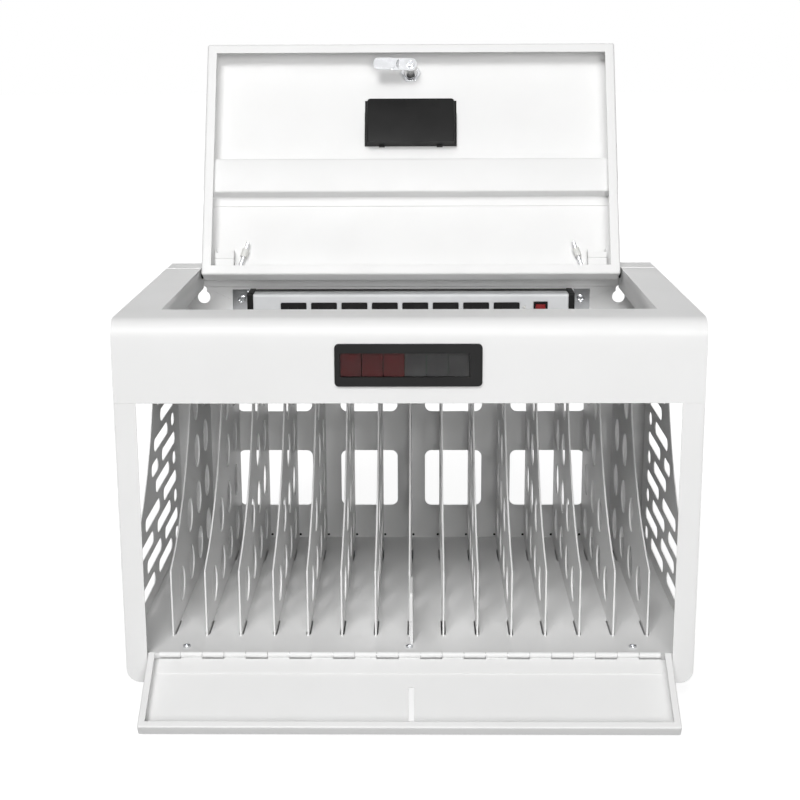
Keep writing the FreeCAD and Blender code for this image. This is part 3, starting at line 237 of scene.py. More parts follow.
grain, given, result = effect(
    "grain", (("Scale", "Float"), ("Stretch", "Vector"), ("Low", "Float"), ("High", "Float")),
    (("Height", "Float"), ("Roughness", "Float")))
spot = add(grain, "TexCoord")
pull = add(grain, "Mapping", {"Vector": spot.outputs["Object"], "Scale": given.outputs["Stretch"]}).outputs[0]
height = cloud(grain, pull, given.outputs["Scale"], GRAIN_DETAIL)
gloss = add(grain, "MapRange", {
    "Value": cloud(grain, pull, GLOSS_SCALE, GLOSS_DETAIL), "From Min": GLOSS_LOW, "From Max": GLOSS_HIGH,
    "To Min": given.outputs["Low"], "To Max": given.outputs["High"]})
feed(grain, result, {"Height": height, "Roughness": gloss.outputs[0]})
print("groups:", [group.name for group in bpy.data.node_groups])

# %% [markdown]
# ## How a finish is made
# One function builds every material around a Principled shader. The two groups give colour, roughness and
# bumps; values that are the same all over, such as metal or glass, are set on the shader itself.

# %% How a finish is made
EVEN = (1, 1, 1)


def finish(name, clean, dull, tone_scale, grain_scale, low, high, bump, stretch=EVEN, fixed=None):
    """Material from the two effects; low and high bound its roughness, bump is in millimetres."""
    material = bpy.data.materials.new(name)
    material.use_nodes = True
    tree = material.node_tree
    colour = add(tree, "Group", {"Clean": (*clean, 1), "Dull": (*dull, 1), "Scale": tone_scale},
                 node_tree=tone)
    texture = add(tree, "Group", {"Scale": grain_scale, "Stretch": stretch, "Low": low, "High": high},
                  node_tree=grain)
    relief = add(tree, "Bump", {"Strength": 1.0, "Distance": bump * MM, "Height": texture.outputs["Height"]})
    shader = tree.nodes["Principled BSDF"]
    feed(tree, shader, {"Base Color": colour.outputs["Color"], "Roughness": texture.outputs["Roughness"],
                        "Normal": relief.outputs["Normal"]})
    feed(tree, shader, fixed or {})
    material.diffuse_color = (*clean, 1)
    return material


print("effects in a finish:", tone.name, grain.name)

# %% [markdown]
# ## Finishes
# The shell has a fine, satin powder coat. Plated steel shows faint lines from rolling, moulded plastic a
# matt spark-eroded grain, and rubber almost no gloss. CAD pieces get their finish by their material slot.

# %% Finishes


def grey(level):
    """Colour without a hue."""
    return (level, level, level)


# Name, clean and dull colour, scale of the tone and of the grain, least and most roughness, bump.
finishes = {
    "white_coat": finish("powder_coat", (0.88, 0.88, 0.877), (0.855, 0.855, 0.85), 9, 900, 0.4, 0.5, 0.05),
    "zinc": finish("zinc_plate", (0.78, 0.79, 0.81), (0.66, 0.67, 0.69), 60, 500, 0.1, 0.16, 0.03,
                   stretch=(0.12, 1, 1), fixed={"Metallic": 1.0}),
    "chrome": finish("nickel_plate", (0.74, 0.74, 0.74), (0.66, 0.66, 0.67), 80, 300, 0.1, 0.2, 0.01,
                     fixed={"Metallic": 1.0}),
    "black_plastic": finish("black_moulding", grey(0.008), grey(0.012), 30, 1500, 0.42, 0.54, 0.06,
                            fixed={"Specular IOR Level": 0.18}),
    "smoked_pane": finish("smoked_pane", grey(0.55), grey(0.52), 20, 200, 0.04, 0.07, 0.002,
                          fixed={"Transmission Weight": 1.0, "IOR": 1.12}),
    "digit_red": finish("dark_red_digits", (0.17, 0.016, 0.016), (0.08, 0.01, 0.01), 45, 700, 0.3, 0.45,
                        0.02),
    "digit_grey": finish("grey_digits", grey(0.1), grey(0.055), 45, 700, 0.3, 0.45, 0.02),
    "board_green": finish("solder_mask", (0.02, 0.11, 0.05), (0.015, 0.08, 0.04), 40, 800, 0.35, 0.5, 0.02),
    "grey_plastic": finish("strip_cover_coat", (0.72, 0.73, 0.74), (0.66, 0.67, 0.68), 25, 900, 0.3, 0.42,
                           0.03),
    "foot_rubber": finish("foot_rubber", grey(0.018), grey(0.03), 50, 1100, 0.7, 0.85, 0.08),
    "white_nylon": finish("white_nylon", (0.8, 0.8, 0.78), (0.74, 0.74, 0.71), 60, 600, 0.4, 0.5, 0.02),
    "red_plastic": finish("red_rocker", (0.3, 0.012, 0.012), (0.2, 0.01, 0.01), 60, 700, 0.22, 0.32, 0.01),
}
for row in frame["record"]["subparts"]:
    for holder in nodes[row["node"]].material_slots:
        holder.material = finishes[row["material_slot"]]
print("finishes:", len(finishes))

# %% [markdown]
# ## From bmesh to piece
# Shapes are drawn in millimetres and in the place where they are easiest to draw: lid pieces closed and
# flat with the hinge at the origin, flap pieces upright on their pin. This cell scales a shape to metres,
# puts it in its place at rest and gives it to its body.

# %% Pieces
LID_PIVOT, LID_OPEN = (0, 175, 452), 115
FLAP_PIVOT, FLAP_OPEN = (0, -210.9, 63), 121
LID_PLACE = Matrix.Translation(LID_PIVOT) @ Matrix.Rotation(math.radians(-LID_OPEN), 4, "X")
FLAP_PLACE = Matrix.Translation(FLAP_PIVOT) @ Matrix.Rotation(math.radians(FLAP_OPEN), 4, "X")
REST_PLACE = {body: LID_PLACE for body in ("lid", "pin_left", "pin_right", "cam")}
REST_PLACE["flap"] = FLAP_PLACE
SMOOTH_ANGLE, EDGE_ANGLE = math.radians(32), math.radians(40)
EDGE_STEPS = 2


def soft_edge(thing, width, harden):
    """Narrow bevel on the sharp edges, its width in millimetres."""
    soften = thing.modifiers.new("edge", "BEVEL")
    soften.width = width * MM
    soften.segments = EDGE_STEPS
    soften.limit_method = "ANGLE"
    soften.angle_limit = EDGE_ANGLE
    soften.harden_normals = harden


def piece(shape, name, body, slot, stands_for=(), wall=0, edge=0):
    """Finish a shape. A wall makes a surface into a sheet of that thickness, inwards; edge rounds it."""
    shape.transform(Matrix.Scale(MM, 4) @ REST_PLACE.get(body, Matrix()))
    mesh = bpy.data.meshes.new(name)
    shape.to_mesh(mesh)
    shape.free()
    mesh.materials.append(finishes[slot])
    mesh.shade_smooth()
    mesh.set_sharp_from_angle(angle=SMOOTH_ANGLE)
    thing = bpy.data.objects.new(name, mesh)
    scene.collection.objects.link(thing)
    if wall:
        thicken = thing.modifiers.new("wall", "SOLIDIFY")
        thicken.thickness = wall * MM
        thicken.offset = -1
        thicken.use_even_offset = True
    if edge:
        soft_edge(thing, edge, True)
    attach(thing, body)
    if stands_for:
        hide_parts(*stands_for)


print("bodies drawn away from their place:", sorted(REST_PLACE))

# %% [markdown]
# ## Outlines
# Flat pieces are drawn as closed wires, in the plane of the sheet, and stood up afterwards. Straight runs
# are edges between points; an arc comes from spinning a single vertex about its centre, which keeps the
# list of points as short as the shape allows.

# %% Outlines
ARC_STEP, FEWEST_STEPS = math.radians(7.5), 3
MEET, WELD = 1e-4, 1e-3
TO_SIDE = Matrix(((0, 0, 1, 0), (1, 0, 0, 0), (0, 1, 0, 0), (0, 0, 0, 1)))
TO_FRONT = Matrix.Rotation(math.pi / 2, 4, "X")


def side_at(x):
    """Place that stands a plate upright along the cabinet's depth, from x to the right."""
    return Matrix.Translation((x, 0, 0)) @ TO_SIDE


def front_at(y, x=0, z=0):
    """Place that stands a plate upright across the cabinet, from y forwards."""
    return Matrix.Translation((x, y, z)) @ TO_FRONT


def level_at(z):
    """Place that lays a plate flat, from z upwards."""
    return Matrix.Translation((0, 0, z))


def outline(shape, stops):
    """Closed wire in the XY plane. A stop is a point, or (centre, degrees) for an arc from the last one."""
    first = last = None
    for stop in stops:
        if isinstance(stop[0], tuple):
            turn = math.radians(stop[1])
            full = abs(stop[1]) == 360
            arc = bmesh.ops.spin(shape, geom=[last], cent=(*stop[0], 0), axis=(0, 0, 1), angle=turn,
                                 steps=max(FEWEST_STEPS, math.ceil(abs(turn) / ARC_STEP)), use_merge=full)
            last = first if full else arc["geom_last"][0]
            continue
        point = shape.verts.new((*stop, 0))
        if last:
            shape.edges.new((last, point))
        first = first or point
        last = point
    if (last.co - first.co).length > MEET:
        shape.edges.new((last, first))


def rectangle(low, high):
    """Stops of a rectangle with sharp corners."""
    return [(low[0], low[1]), (high[0], low[1]), (high[0], high[1]), (low[0], high[1])]


def rounded(low, high, radius):
    """Stops of a rectangle with round corners; a radius of half its height makes a slot."""
    (left, bottom), (right, top) = low, high
    return [
        (left + radius, bottom), (right - radius, bottom), ((right - radius, bottom + radius), 90),
        (right, top - radius), ((right - radius, top - radius), 90),
        (left + radius, top), ((left + radius, top - radius), 90),
        (left, bottom + radius), ((left + radius, bottom + radius), 90),
    ]


print("arc step:", math.degrees(ARC_STEP), "degrees")

# %% [markdown]
# ## Cut sheet
# Dividers, side panels and the back are laser-cut sheet. The wire of the outline and one for each hole are
# filled with triangles, and the fill is extruded to the thickness of the sheet. A Boolean modifier could
# cut the holes too, but filling keeps the mesh small and exact.

# %% Cut sheet


def corners_in(results):
    """The vertices among the results of an operator."""
    return [item for item in results if isinstance(item, bmesh.types.BMVert)]


def cut_sheet(outlines, thickness, place=Matrix()):
    """Plate between two faces of the XY plane, with its holes, moved to its place."""
    shape = bmesh.new()
    for stops in outlines:
        outline(shape, stops)
    bmesh.ops.remove_doubles(shape, verts=shape.verts, dist=WELD)
    bmesh.ops.triangle_fill(shape, use_beauty=True, edges=shape.edges[:], normal=(0, 0, 1))
    grown = bmesh.ops.extrude_face_region(shape, geom=shape.faces[:])["geom"]
    bmesh.ops.translate(shape, verts=corners_in(grown), vec=(0, 0, thickness))
    bmesh.ops.recalc_face_normals(shape, faces=shape.faces[:])
    shape.transform(place)
    return shape


def joined(*shapes):
    """One shape from several that touch."""
    whole = shapes[0]
    for shape in shapes[1:]:
        copy = bpy.data.meshes.new("part")
        shape.to_mesh(copy)
        shape.free()
        whole.from_mesh(copy)
        bpy.data.meshes.remove(copy)
    return whole


print("sheet:", SHEET, "mm thick")

# %% [markdown]
# ## Dividers
# Fifteen scooped plates with round holes for air. They stand in slots of the floor on two tabs each. The
# scoop is an arc that leaves the front edge at a slight corner, so a hand can reach between the devices.

# %% Dividers
DIVIDERS, MIDDLE_DIVIDER, DIVIDER_SHEET = 15, 8, 2
DIVIDER_FRONT, DIVIDER_REAR, DIVIDER_TOP_FRONT = -156, 214.8, 61
SCOOP_CENTRE, SCOOP_TURN = (-251.55, 457.69), -56.44
HOLE_RADIUS, HOLE_COLUMN, HOLE_ROW = 22, 79, 64
FIRST_HOLE = (157, 102)
HOLES_PER_COLUMN = (4, 4, 2, 1)
BAY_PITCH = 40.6
TABS, TAB_Z = ((-150, -105), (114, 159)), 57


def ring(centre, radius):
    """Stops of a full circle."""
    return [(centre[0] + radius, centre[1]), (centre, 360)]


def divider_x(number):
    """Middle of a divider, counted from 1 at the left."""
    return (number - MIDDLE_DIVIDER) * BAY_PITCH


divider_cut = [[(DIVIDER_FRONT, FLOOR_Z)]]
for start, end in TABS:
    divider_cut[0] += [(start, FLOOR_Z), (start, TAB_Z), (end, TAB_Z), (end, FLOOR_Z)]
divider_cut[0] += [(DIVIDER_REAR, FLOOR_Z), (DIVIDER_REAR, DECK_Z), (DIVIDER_TOP_FRONT, DECK_Z),
                   (SCOOP_CENTRE, SCOOP_TURN)]
for column, count in enumerate(HOLES_PER_COLUMN):
    for row in range(count):
        middle = (FIRST_HOLE[0] - column * HOLE_COLUMN, FIRST_HOLE[1] + row * HOLE_ROW)
        divider_cut.append(ring(middle, HOLE_RADIUS))
for number in range(1, DIVIDERS + 1):
    plate = cut_sheet(divider_cut, DIVIDER_SHEET, side_at(divider_x(number) - DIVIDER_SHEET / 2))
    piece(plate, "divider_plate_%02d" % number, "cabinet", "white_coat", ["divider_%02d" % number], edge=0.3)
print("dividers:", DIVIDERS, "holes each:", sum(HOLES_PER_COLUMN))

# %% [markdown]
# ## Side panels
# Each side is one sheet: a perforated wall with the same scoop, and a leg that is folded round the front
# corner. The slots lie brick-wise in rows, and every second row starts with a short one.

# %% Side panels
SLOT_HEIGHT, SLOT_LENGTH, SLOT_SHORT, SLOT_WEB, SLOT_MARGIN = 17, 105, 24, 30, 26
SLOT_REAR, SLOT_FLAT = 174, 0.01
FIRST_ROW, ROW_PITCH, ROWS = 88, 27.3, 10
SIDE_SCOOP_SHIFT, SCOOP_RADIUS, SCOOP_LOW = 20, 326, 146
SIDE_SCOOP = (SCOOP_CENTRE[0] - SIDE_SCOOP_SHIFT, SCOOP_CENTRE[1])
SIDE_FRONT, SIDE_TOP_FRONT = -176, 41
LEG_SIDE, LEG_REAR = 305, -188


def scoop_edge(height):
    """Y of the side panel's front edge at a height."""
    if height < SCOOP_LOW:
        return SIDE_FRONT
    return SIDE_SCOOP[0] + math.sqrt(SCOOP_RADIUS ** 2 - (height - SIDE_SCOOP[1]) ** 2)


side_cut = [[
    (FRONT, RIM_Z), (BACK, RIM_Z), (BACK, DECK_Z), (SIDE_TOP_FRONT, DECK_Z), (SIDE_SCOOP, SCOOP_TURN),
    (LEG_REAR, SCOOP_LOW), (LEG_REAR, DECK_Z), (FRONT, DECK_Z),
]]
half = SLOT_HEIGHT / 2
for number in range(ROWS):
    middle = FIRST_ROW + ROW_PITCH * number
    limit = max(scoop_edge(middle + half), LEG_REAR) + SLOT_MARGIN
    rear, length = SLOT_REAR, SLOT_SHORT if number % 2 == 0 else SLOT_LENGTH
    while rear - limit >= SLOT_SHORT:
        front = max(rear - length, limit)
        side_cut.append(rounded((front, middle - half), (rear, middle + half), half - SLOT_FLAT))
        rear, length = front - SLOT_WEB, SLOT_LENGTH
for name, sign in (("left", -1), ("right", 1)):
    wall = cut_sheet(side_cut, SHEET, side_at(-HALF_WIDTH if sign < 0 else HALF_WIDTH - SHEET))
    inner, outer = sign * LEG_SIDE, sign * (HALF_WIDTH - SHEET)
    leg = cut_sheet([rectangle((inner, RIM_Z), (outer, DECK_Z))], SHEET, front_at(FRONT + SHEET))
    piece(joined(wall, leg), "side_wall_" + name, "cabinet", "white_coat", ["side_panel_" + name], edge=0.3)
print("slots on a side:", len(side_cut) - 1)

# %% [markdown]
# ## Folded sheet
# The hood, the base, the lid and the flap are trays folded from sheet steel. A cube is scaled to size, the
# edges where the metal turns are bevelled into bends, and the open sides are deleted. A Solidify modifier
# gives the skin its thickness later.

# %% Folded sheet
WAYS = {"-x": Vector((-1, 0, 0)), "+x": Vector((1, 0, 0)), "-y": Vector((0, -1, 0)), "+y": Vector((0, 1, 0)),
        "-z": Vector((0, 0, -1)), "+z": Vector((0, 0, 1))}
BEND_STEPS, ALONG = 8, 0.999
BLOCK_EDGE, CLOSE_BY = 0.2, 0.1


def facing(shape, *ways):
    """Flat faces that look one of the ways named."""
    shape.normal_update()
    return [face for face in shape.faces if any(face.normal.dot(WAYS[way]) > ALONG for way in ways)]


def bend(shape, radius, chosen):
    """Round the edges whose middle passes a test."""
    edges = [edge for edge in shape.edges if chosen((edge.verts[0].co + edge.verts[1].co) / 2)]
    bmesh.ops.bevel(shape, geom=edges, offset=radius, offset_type="OFFSET", segments=BEND_STEPS, profile=0.5,
                    affect="EDGES", material=-1)


def tray(low, high, radius, chosen, open_ways):
    """Skin of a box: one radius for its chosen edges, and no faces on its open sides."""
    shape = bmesh.new()
    bmesh.ops.create_cube(shape, size=1)
    low, high = Vector(low), Vector(high)
    bmesh.ops.scale(shape, verts=shape.verts[:], vec=high - low)
    bmesh.ops.translate(shape, verts=shape.verts[:], vec=(low + high) / 2)
    bend(shape, radius, chosen)
    bmesh.ops.delete(shape, geom=facing(shape, *open_ways), context="FACES")
    return shape


def block(low, high):
    """Solid box between two corners."""
    return tray(low, high, BLOCK_EDGE, lambda middle: True, ())


def near(number, target):
    """Whether two sizes are the same, give or take a little."""
    return abs(number - target) < CLOSE_BY


print("steps in a bend:", BEND_STEPS)

# %% [markdown]
# ## Windows in folded sheet
# A window in a flat face is cut with planes: one bisect for each of its edges, only in the faces that look
# that way, and then the faces between the cuts are deleted. The bends beside it stay whole.

# %% Windows in folded sheet


def cut_window(shape, way, low, high):
    """Rectangular hole in the faces that look one way; None leaves an axis free."""
    for axis in range(3):
        for limit in (low[axis], high[axis]):
            if limit is None:
                continue
            normal = Vector((0, 0, 0))
            normal[axis] = 1
            faces = facing(shape, way)
            around = set(faces)
            for face in faces:
                around.update(face.edges)
                around.update(face.verts)
            bmesh.ops.bisect_plane(shape, geom=list(around), dist=MEET, plane_co=normal * limit,
                                   plane_no=normal)
    gone = [face for face in facing(shape, way)
            if all((start is None or spot > start) and (end is None or spot < end)
                   for spot, start, end in zip(face.calc_center_median(), low, high))]
    bmesh.ops.delete(shape, geom=gone, context="FACES")


print("ways a face can look:", *WAYS)

# %% [markdown]
# ## Hood, rear cap and base
# The fascia rolls back into the top with a large radius; the other folds are tight and only lose their
# sharpness to the coating. The top is open in the middle, and the rear cap closes it behind the hinge.

# %% Hood, rear cap and base
HOOD_REAR, FASCIA_RADIUS, CAP_RADIUS, BASE_RADIUS = 167, 20, 0.8, 15.9
OPENING_SIDE, OPENING_FRONT, OPENING_REAR = 283, -150, 188.5
DISPLAY_SIDE, DISPLAY_Z, DISPLAY_RISE = 78.4, 409, 20.4
SEAM_RISE, SEAM_SINK, SEAM_WIDTH, SEAM_LAP = 0.7, 0.5, 1.6, 0.4

hood = tray((-HALF_WIDTH, FRONT, DECK_Z), (HALF_WIDTH, HOOD_REAR, TOP), FASCIA_RADIUS,
            lambda middle: near(middle.y, FRONT) and near(middle.z, TOP), ("-z", "+y"))
cut_window(hood, "+z", (-OPENING_SIDE, OPENING_FRONT, None), (OPENING_SIDE, None, None))
cut_window(hood, "-y", (-DISPLAY_SIDE, None, DISPLAY_Z - DISPLAY_RISE),
           (DISPLAY_SIDE, None, DISPLAY_Z + DISPLAY_RISE))
piece(hood, "hood_skin", "cabinet", "white_coat", ["hood"], wall=SHEET, edge=0.5)

cap = tray((-HALF_WIDTH, HOOD_REAR, DECK_Z), (HALF_WIDTH, BACK - SHEET, TOP), CAP_RADIUS,
           lambda middle: near(abs(middle.x), HALF_WIDTH) and near(middle.z, TOP), ("-z", "-y", "+y"))
cut_window(cap, "+z", (-OPENING_SIDE, None, None), (OPENING_SIDE, OPENING_REAR, None))
piece(cap, "rear_cap_skin", "cabinet", "white_coat", ["rear_cap"], wall=SHEET, edge=0.3)

arm = HALF_WIDTH - OPENING_SIDE
seams = [block((left, HOOD_REAR - SEAM_LAP, TOP - SEAM_SINK),
               (left + arm, HOOD_REAR + SEAM_WIDTH, TOP + SEAM_RISE))
         for left in (-HALF_WIDTH, OPENING_SIDE)]
piece(joined(*seams), "cap_seams", "cabinet", "white_coat")

base = tray((-HALF_WIDTH, FRONT, BASE_Z), (HALF_WIDTH, BACK, RIM_Z), BASE_RADIUS,
            lambda middle: near(abs(middle.x), HALF_WIDTH) and near(middle.z, BASE_Z), ("+z",))
piece(base, "base_skin", "cabinet", "white_coat", ["base_pan"], wall=SHEET, edge=0.4)
print("folded trays:", 3)

# %% [markdown]
# ## Ribbons of sheet
# The flange that lines the top opening and the stiffener of the lid are strips that turn a few corners. A
# wire follows the corners, its corners are bevelled into bends, and the wire is swept sideways into a
# surface. The faces are turned so that the sheet grows to the hidden side.

# %% Opening flange and lid stiffener
RIBBON_STEPS, FLANGE_BEND, STIFF_BEND = 4, 1.0, 2.5


def ribbon(corners, sweep, radius, outward):
    """Surface swept from a bent wire; the largest faces look outward."""
    shape = bmesh.new()
    points = [shape.verts.new(corner) for corner in corners]
    for one, two in zip(points, points[1:]):
        shape.edges.new((one, two))
    bmesh.ops.bevel(shape, geom=points[1:-1], offset=radius, offset_type="OFFSET", segments=RIBBON_STEPS,
                    profile=0.5, affect="VERTICES", material=-1)
    grown = bmesh.ops.extrude_edge_only(shape, edges=shape.edges[:])["geom"]
    bmesh.ops.translate(shape, verts=corners_in(grown), vec=sweep)
    bmesh.ops.recalc_face_normals(shape, faces=shape.faces[:])
    if max(shape.faces, key=lambda face: face.calc_area()).normal.dot(outward) < 0:
        bmesh.ops.reverse_faces(shape, faces=shape.faces[:])
    return shape


FLANGE_REAR, FLANGE_LOW = 187, 430
flange = ribbon([(OPENING_SIDE, FLANGE_REAR, FLANGE_LOW), (OPENING_SIDE, OPENING_FRONT, FLANGE_LOW),
                 (-OPENING_SIDE, OPENING_FRONT, FLANGE_LOW), (-OPENING_SIDE, FLANGE_REAR, FLANGE_LOW)],
                (0, 0, TOP - SHEET - FLANGE_LOW), FLANGE_BEND, WAYS["+y"])
piece(flange, "opening_lining", "cabinet", "white_coat", ["opening_flange"], wall=SHEET)

LID_SIDE, LID_FRONT, LID_REAR, LID_LOW, LID_TOP = 281, -323, 8, -22, 8
LID_SKIN = LID_TOP - SHEET
STIFF_START, STIFF_FLANGE, STIFF_FACE, STIFF_HEIGHT = 150, 14, 48, 20
rows = [LID_FRONT + STIFF_START]
for step in (STIFF_FLANGE, STIFF_FACE, STIFF_FLANGE):
    rows.append(rows[-1] + step)
skin_z, face_z = LID_SKIN - SHEET, LID_SKIN - STIFF_HEIGHT
end_x = LID_SIDE - SHEET
profile = [(rows[0], skin_z), (rows[1], skin_z), (rows[1], face_z),
           (rows[2], face_z), (rows[2], skin_z), (rows[3], skin_z)]
stiffener = ribbon([(-end_x, y, z) for y, z in profile], (2 * end_x, 0, 0), STIFF_BEND, WAYS["-z"])
piece(stiffener, "hat_stiffener", "lid", "white_coat", ["lid_stiffener"], wall=SHEET, edge=0.25)
print("stiffener rows:", [round(row, 1) for row in rows])

# %% [markdown]
# ## Lid and flap trays
# Both are shallow trays with a return lip, so no cut edge faces a hand. All the folds of a tray share
# one bend radius. The lid is cut for the pull, the flap for the hasp.

# %% Lid and flap trays
LID_LIP, LID_BEND, FLAP_BEND = 13, 3.0, 2.0
PULL_SIDE, PULL_FRONT, PULL_REAR = 63.5, -251, -184

lid = tray((-LID_SIDE, LID_FRONT, LID_LOW), (LID_SIDE, LID_REAR, LID_TOP), LID_BEND, lambda middle: True, ())
cut_window(lid, "-z", (LID_LIP - LID_SIDE, LID_FRONT + LID_LIP, None),
           (LID_SIDE - LID_LIP, LID_REAR - LID_LIP, None))
cut_window(lid, "+z", (-PULL_SIDE, PULL_FRONT, None), (PULL_SIDE, PULL_REAR, None))
piece(lid, "lid_tray", "lid", "white_coat", ["lid_panel"], wall=SHEET, edge=0.3)

FLAP_SIDE, FLAP_SKIN, FLAP_RIM, FLAP_LOW, FLAP_HIGH, FLAP_LIP = 303, -5.1, 9.9, 4.4, 106, 8
HASP_X, HASP_SLOT, HASP_LOW, HASP_HIGH = 2.5, 3, 43, 88
flap = tray((-FLAP_SIDE, FLAP_SKIN, FLAP_LOW), (FLAP_SIDE, FLAP_RIM, FLAP_HIGH), FLAP_BEND,
            lambda middle: not near(middle.z, FLAP_LOW), ("-z",))
cut_window(flap, "+y", (FLAP_LIP - FLAP_SIDE, None, None), (FLAP_SIDE - FLAP_LIP, None, FLAP_HIGH - FLAP_LIP))
cut_window(flap, "-y", (HASP_X - HASP_SLOT, None, HASP_LOW), (HASP_X + HASP_SLOT, None, HASP_HIGH))
piece(flap, "drop_flap", "flap", "white_coat", ["flap_tray"], wall=SHEET, edge=0.3)
print("lid:", 2 * LID_SIDE, "by", LID_REAR - LID_FRONT, "flap:", 2 * FLAP_SIDE, "by", FLAP_HIGH - FLAP_LOW)

# %% [markdown]
# ## Back panel and hasp
# The back is flat. Its eight windows have round corners and pass air and cables; two keyholes in its
# upper corners would hang it on a wall. The hasp is a tongue that comes out through the slot of the flap.

# %% Back panel and hasp
WINDOW_CORNER = 9
WINDOW_ROWS = ((111.5, 192.5), (249.5, 330.5))
WINDOW_SPANS = ((19.5, 99.5), (140, 245))
KEYHOLE_X, KEYHOLE_Z, KEYHOLE_RADIUS, KEYHOLE_NECK, KEYHOLE_RISE = 287, 413, 8.5, 4, 15


def keyhole(x, z):
    """Round hole that runs up into a narrow neck with a round end."""
    throat = math.sqrt(KEYHOLE_RADIUS ** 2 - KEYHOLE_NECK ** 2)
    turn = 360 - 2 * math.degrees(math.atan2(KEYHOLE_NECK, throat))
    crown = z + KEYHOLE_RISE - KEYHOLE_NECK
    return [(x + KEYHOLE_NECK, z + throat), (x + KEYHOLE_NECK, crown), ((x, crown), 180),
            (x - KEYHOLE_NECK, z + throat), ((x, z), turn)]


in_side = HALF_WIDTH - SHEET
back_cut = [[(-in_side, RIM_Z), (in_side, RIM_Z), (in_side, DECK_Z), (HALF_WIDTH, DECK_Z), (HALF_WIDTH, TOP),
             (-HALF_WIDTH, TOP), (-HALF_WIDTH, DECK_Z), (-in_side, DECK_Z)]]
for low, high in WINDOW_ROWS:
    for start, end in WINDOW_SPANS:
        back_cut.append(rounded((start, low), (end, high), WINDOW_CORNER))
        back_cut.append(rounded((-end, low), (-start, high), WINDOW_CORNER))
back_cut += [keyhole(KEYHOLE_X, KEYHOLE_Z), keyhole(-KEYHOLE_X, KEYHOLE_Z)]
piece(cut_sheet(back_cut, SHEET, front_at(BACK)), "back_sheet", "cabinet", "white_coat", ["back_panel"],
      edge=0.3)

HASP_NOSE, HASP_FOOT, HASP_REAR, HASP_BOTTOM, HASP_TOP = -232, -180, -110, 110, 146
HASP_LAP, HASP_CORNER, HASP_SHEET, PADLOCK_HOLE, PADLOCK_RADIUS = 6, 4, 3, (-224, 128), 4.5
hasp_cut = [rounded((HASP_NOSE, HASP_BOTTOM), (HASP_FOOT + HASP_LAP, HASP_TOP), HASP_CORNER),
            ring(PADLOCK_HOLE, PADLOCK_RADIUS)]
foot_cut = [[(HASP_FOOT, FLOOR_Z), (HASP_REAR, FLOOR_Z), (HASP_REAR, HASP_BOTTOM + HASP_CORNER),
             (HASP_FOOT + HASP_CORNER, HASP_TOP), (HASP_FOOT, HASP_TOP)]]
hasp_plates = [cut_sheet(cut, HASP_SHEET, side_at(DIVIDER_SHEET / 2)) for cut in (hasp_cut, foot_cut)]
piece(joined(*hasp_plates), "hasp_tongue", "cabinet", "white_coat", ["hasp_plate"], edge=0.4)
print("cuts in the back:", len(back_cut) - 1)

# %% [markdown]
# ## Turned pieces
# Pins, bushes, the lock and the feet are round. A profile of radius and height is spun all the way round,
# and the ends of the spin are merged, so that no seam stays open. The feet are plain rubber cones.

# %% Feet
ROUND_STEPS = 32


def turned(profile, place=Matrix(), steps=ROUND_STEPS):
    """Round piece about Z from (radius, height) points."""
    shape = bmesh.new()
    line = [shape.verts.new((radius, 0, height)) for radius, height in profile]
    wire = [shape.edges.new(pair) for pair in zip(line, line[1:])]
    bmesh.ops.spin(shape, geom=line + wire, cent=(0, 0, 0), axis=(0, 0, 1), angle=math.tau, steps=steps,
                   use_merge=True)
    bmesh.ops.remove_doubles(shape, verts=shape.verts[:], dist=MEET)
    bmesh.ops.recalc_face_normals(shape, faces=shape.faces[:])
    shape.transform(place)
    return shape


FOOT_X, FOOT_Y = 240, 156
FOOT_SOLE, FOOT_WAIST, FOOT_RADIUS, FOOT_CHAMFER, FOOT_BAND = 15, 17, 19, 2, 1
foot_profile = [(0, 0), (FOOT_SOLE, 0), (FOOT_WAIST, FOOT_CHAMFER), (FOOT_RADIUS, BASE_Z - FOOT_BAND),
                (FOOT_RADIUS, BASE_Z), (0, BASE_Z)]
feet = [turned(foot_profile, Matrix.Translation((x, y, 0)))
        for x in (-FOOT_X, FOOT_X) for y in (-FOOT_Y, FOOT_Y)]
piece(joined(*feet), "rubber_feet", "cabinet", "foot_rubber", ["feet"], edge=0.6)
print("feet:", len(feet))

# %% [markdown]
# ## Piano hinge
# The flap swings on a continuous hinge. Its two leaves are flat strips whose knuckles take turns along one
# pin, so one function makes both: every second knuckle, starting with the first or the second.

# %% Piano hinge
KNUCKLE_RADIUS, KNUCKLE_PITCH, KNUCKLE_GAP, KNUCKLES, HINGE_SIDE = 3.5, 25.4, 0.4, 23, 292.1
KNUCKLE_CHAMFER, KNUCKLE_STEPS = 0.4, 20
LEAF_REACH, LEAF_NECK, NECK_LAP, LEAF_OUT, LEAF_IN = 24.4, 4.4, 1.2, 3.9, 2.7
ALONG_X = Matrix.Rotation(math.pi / 2, 4, "Y")


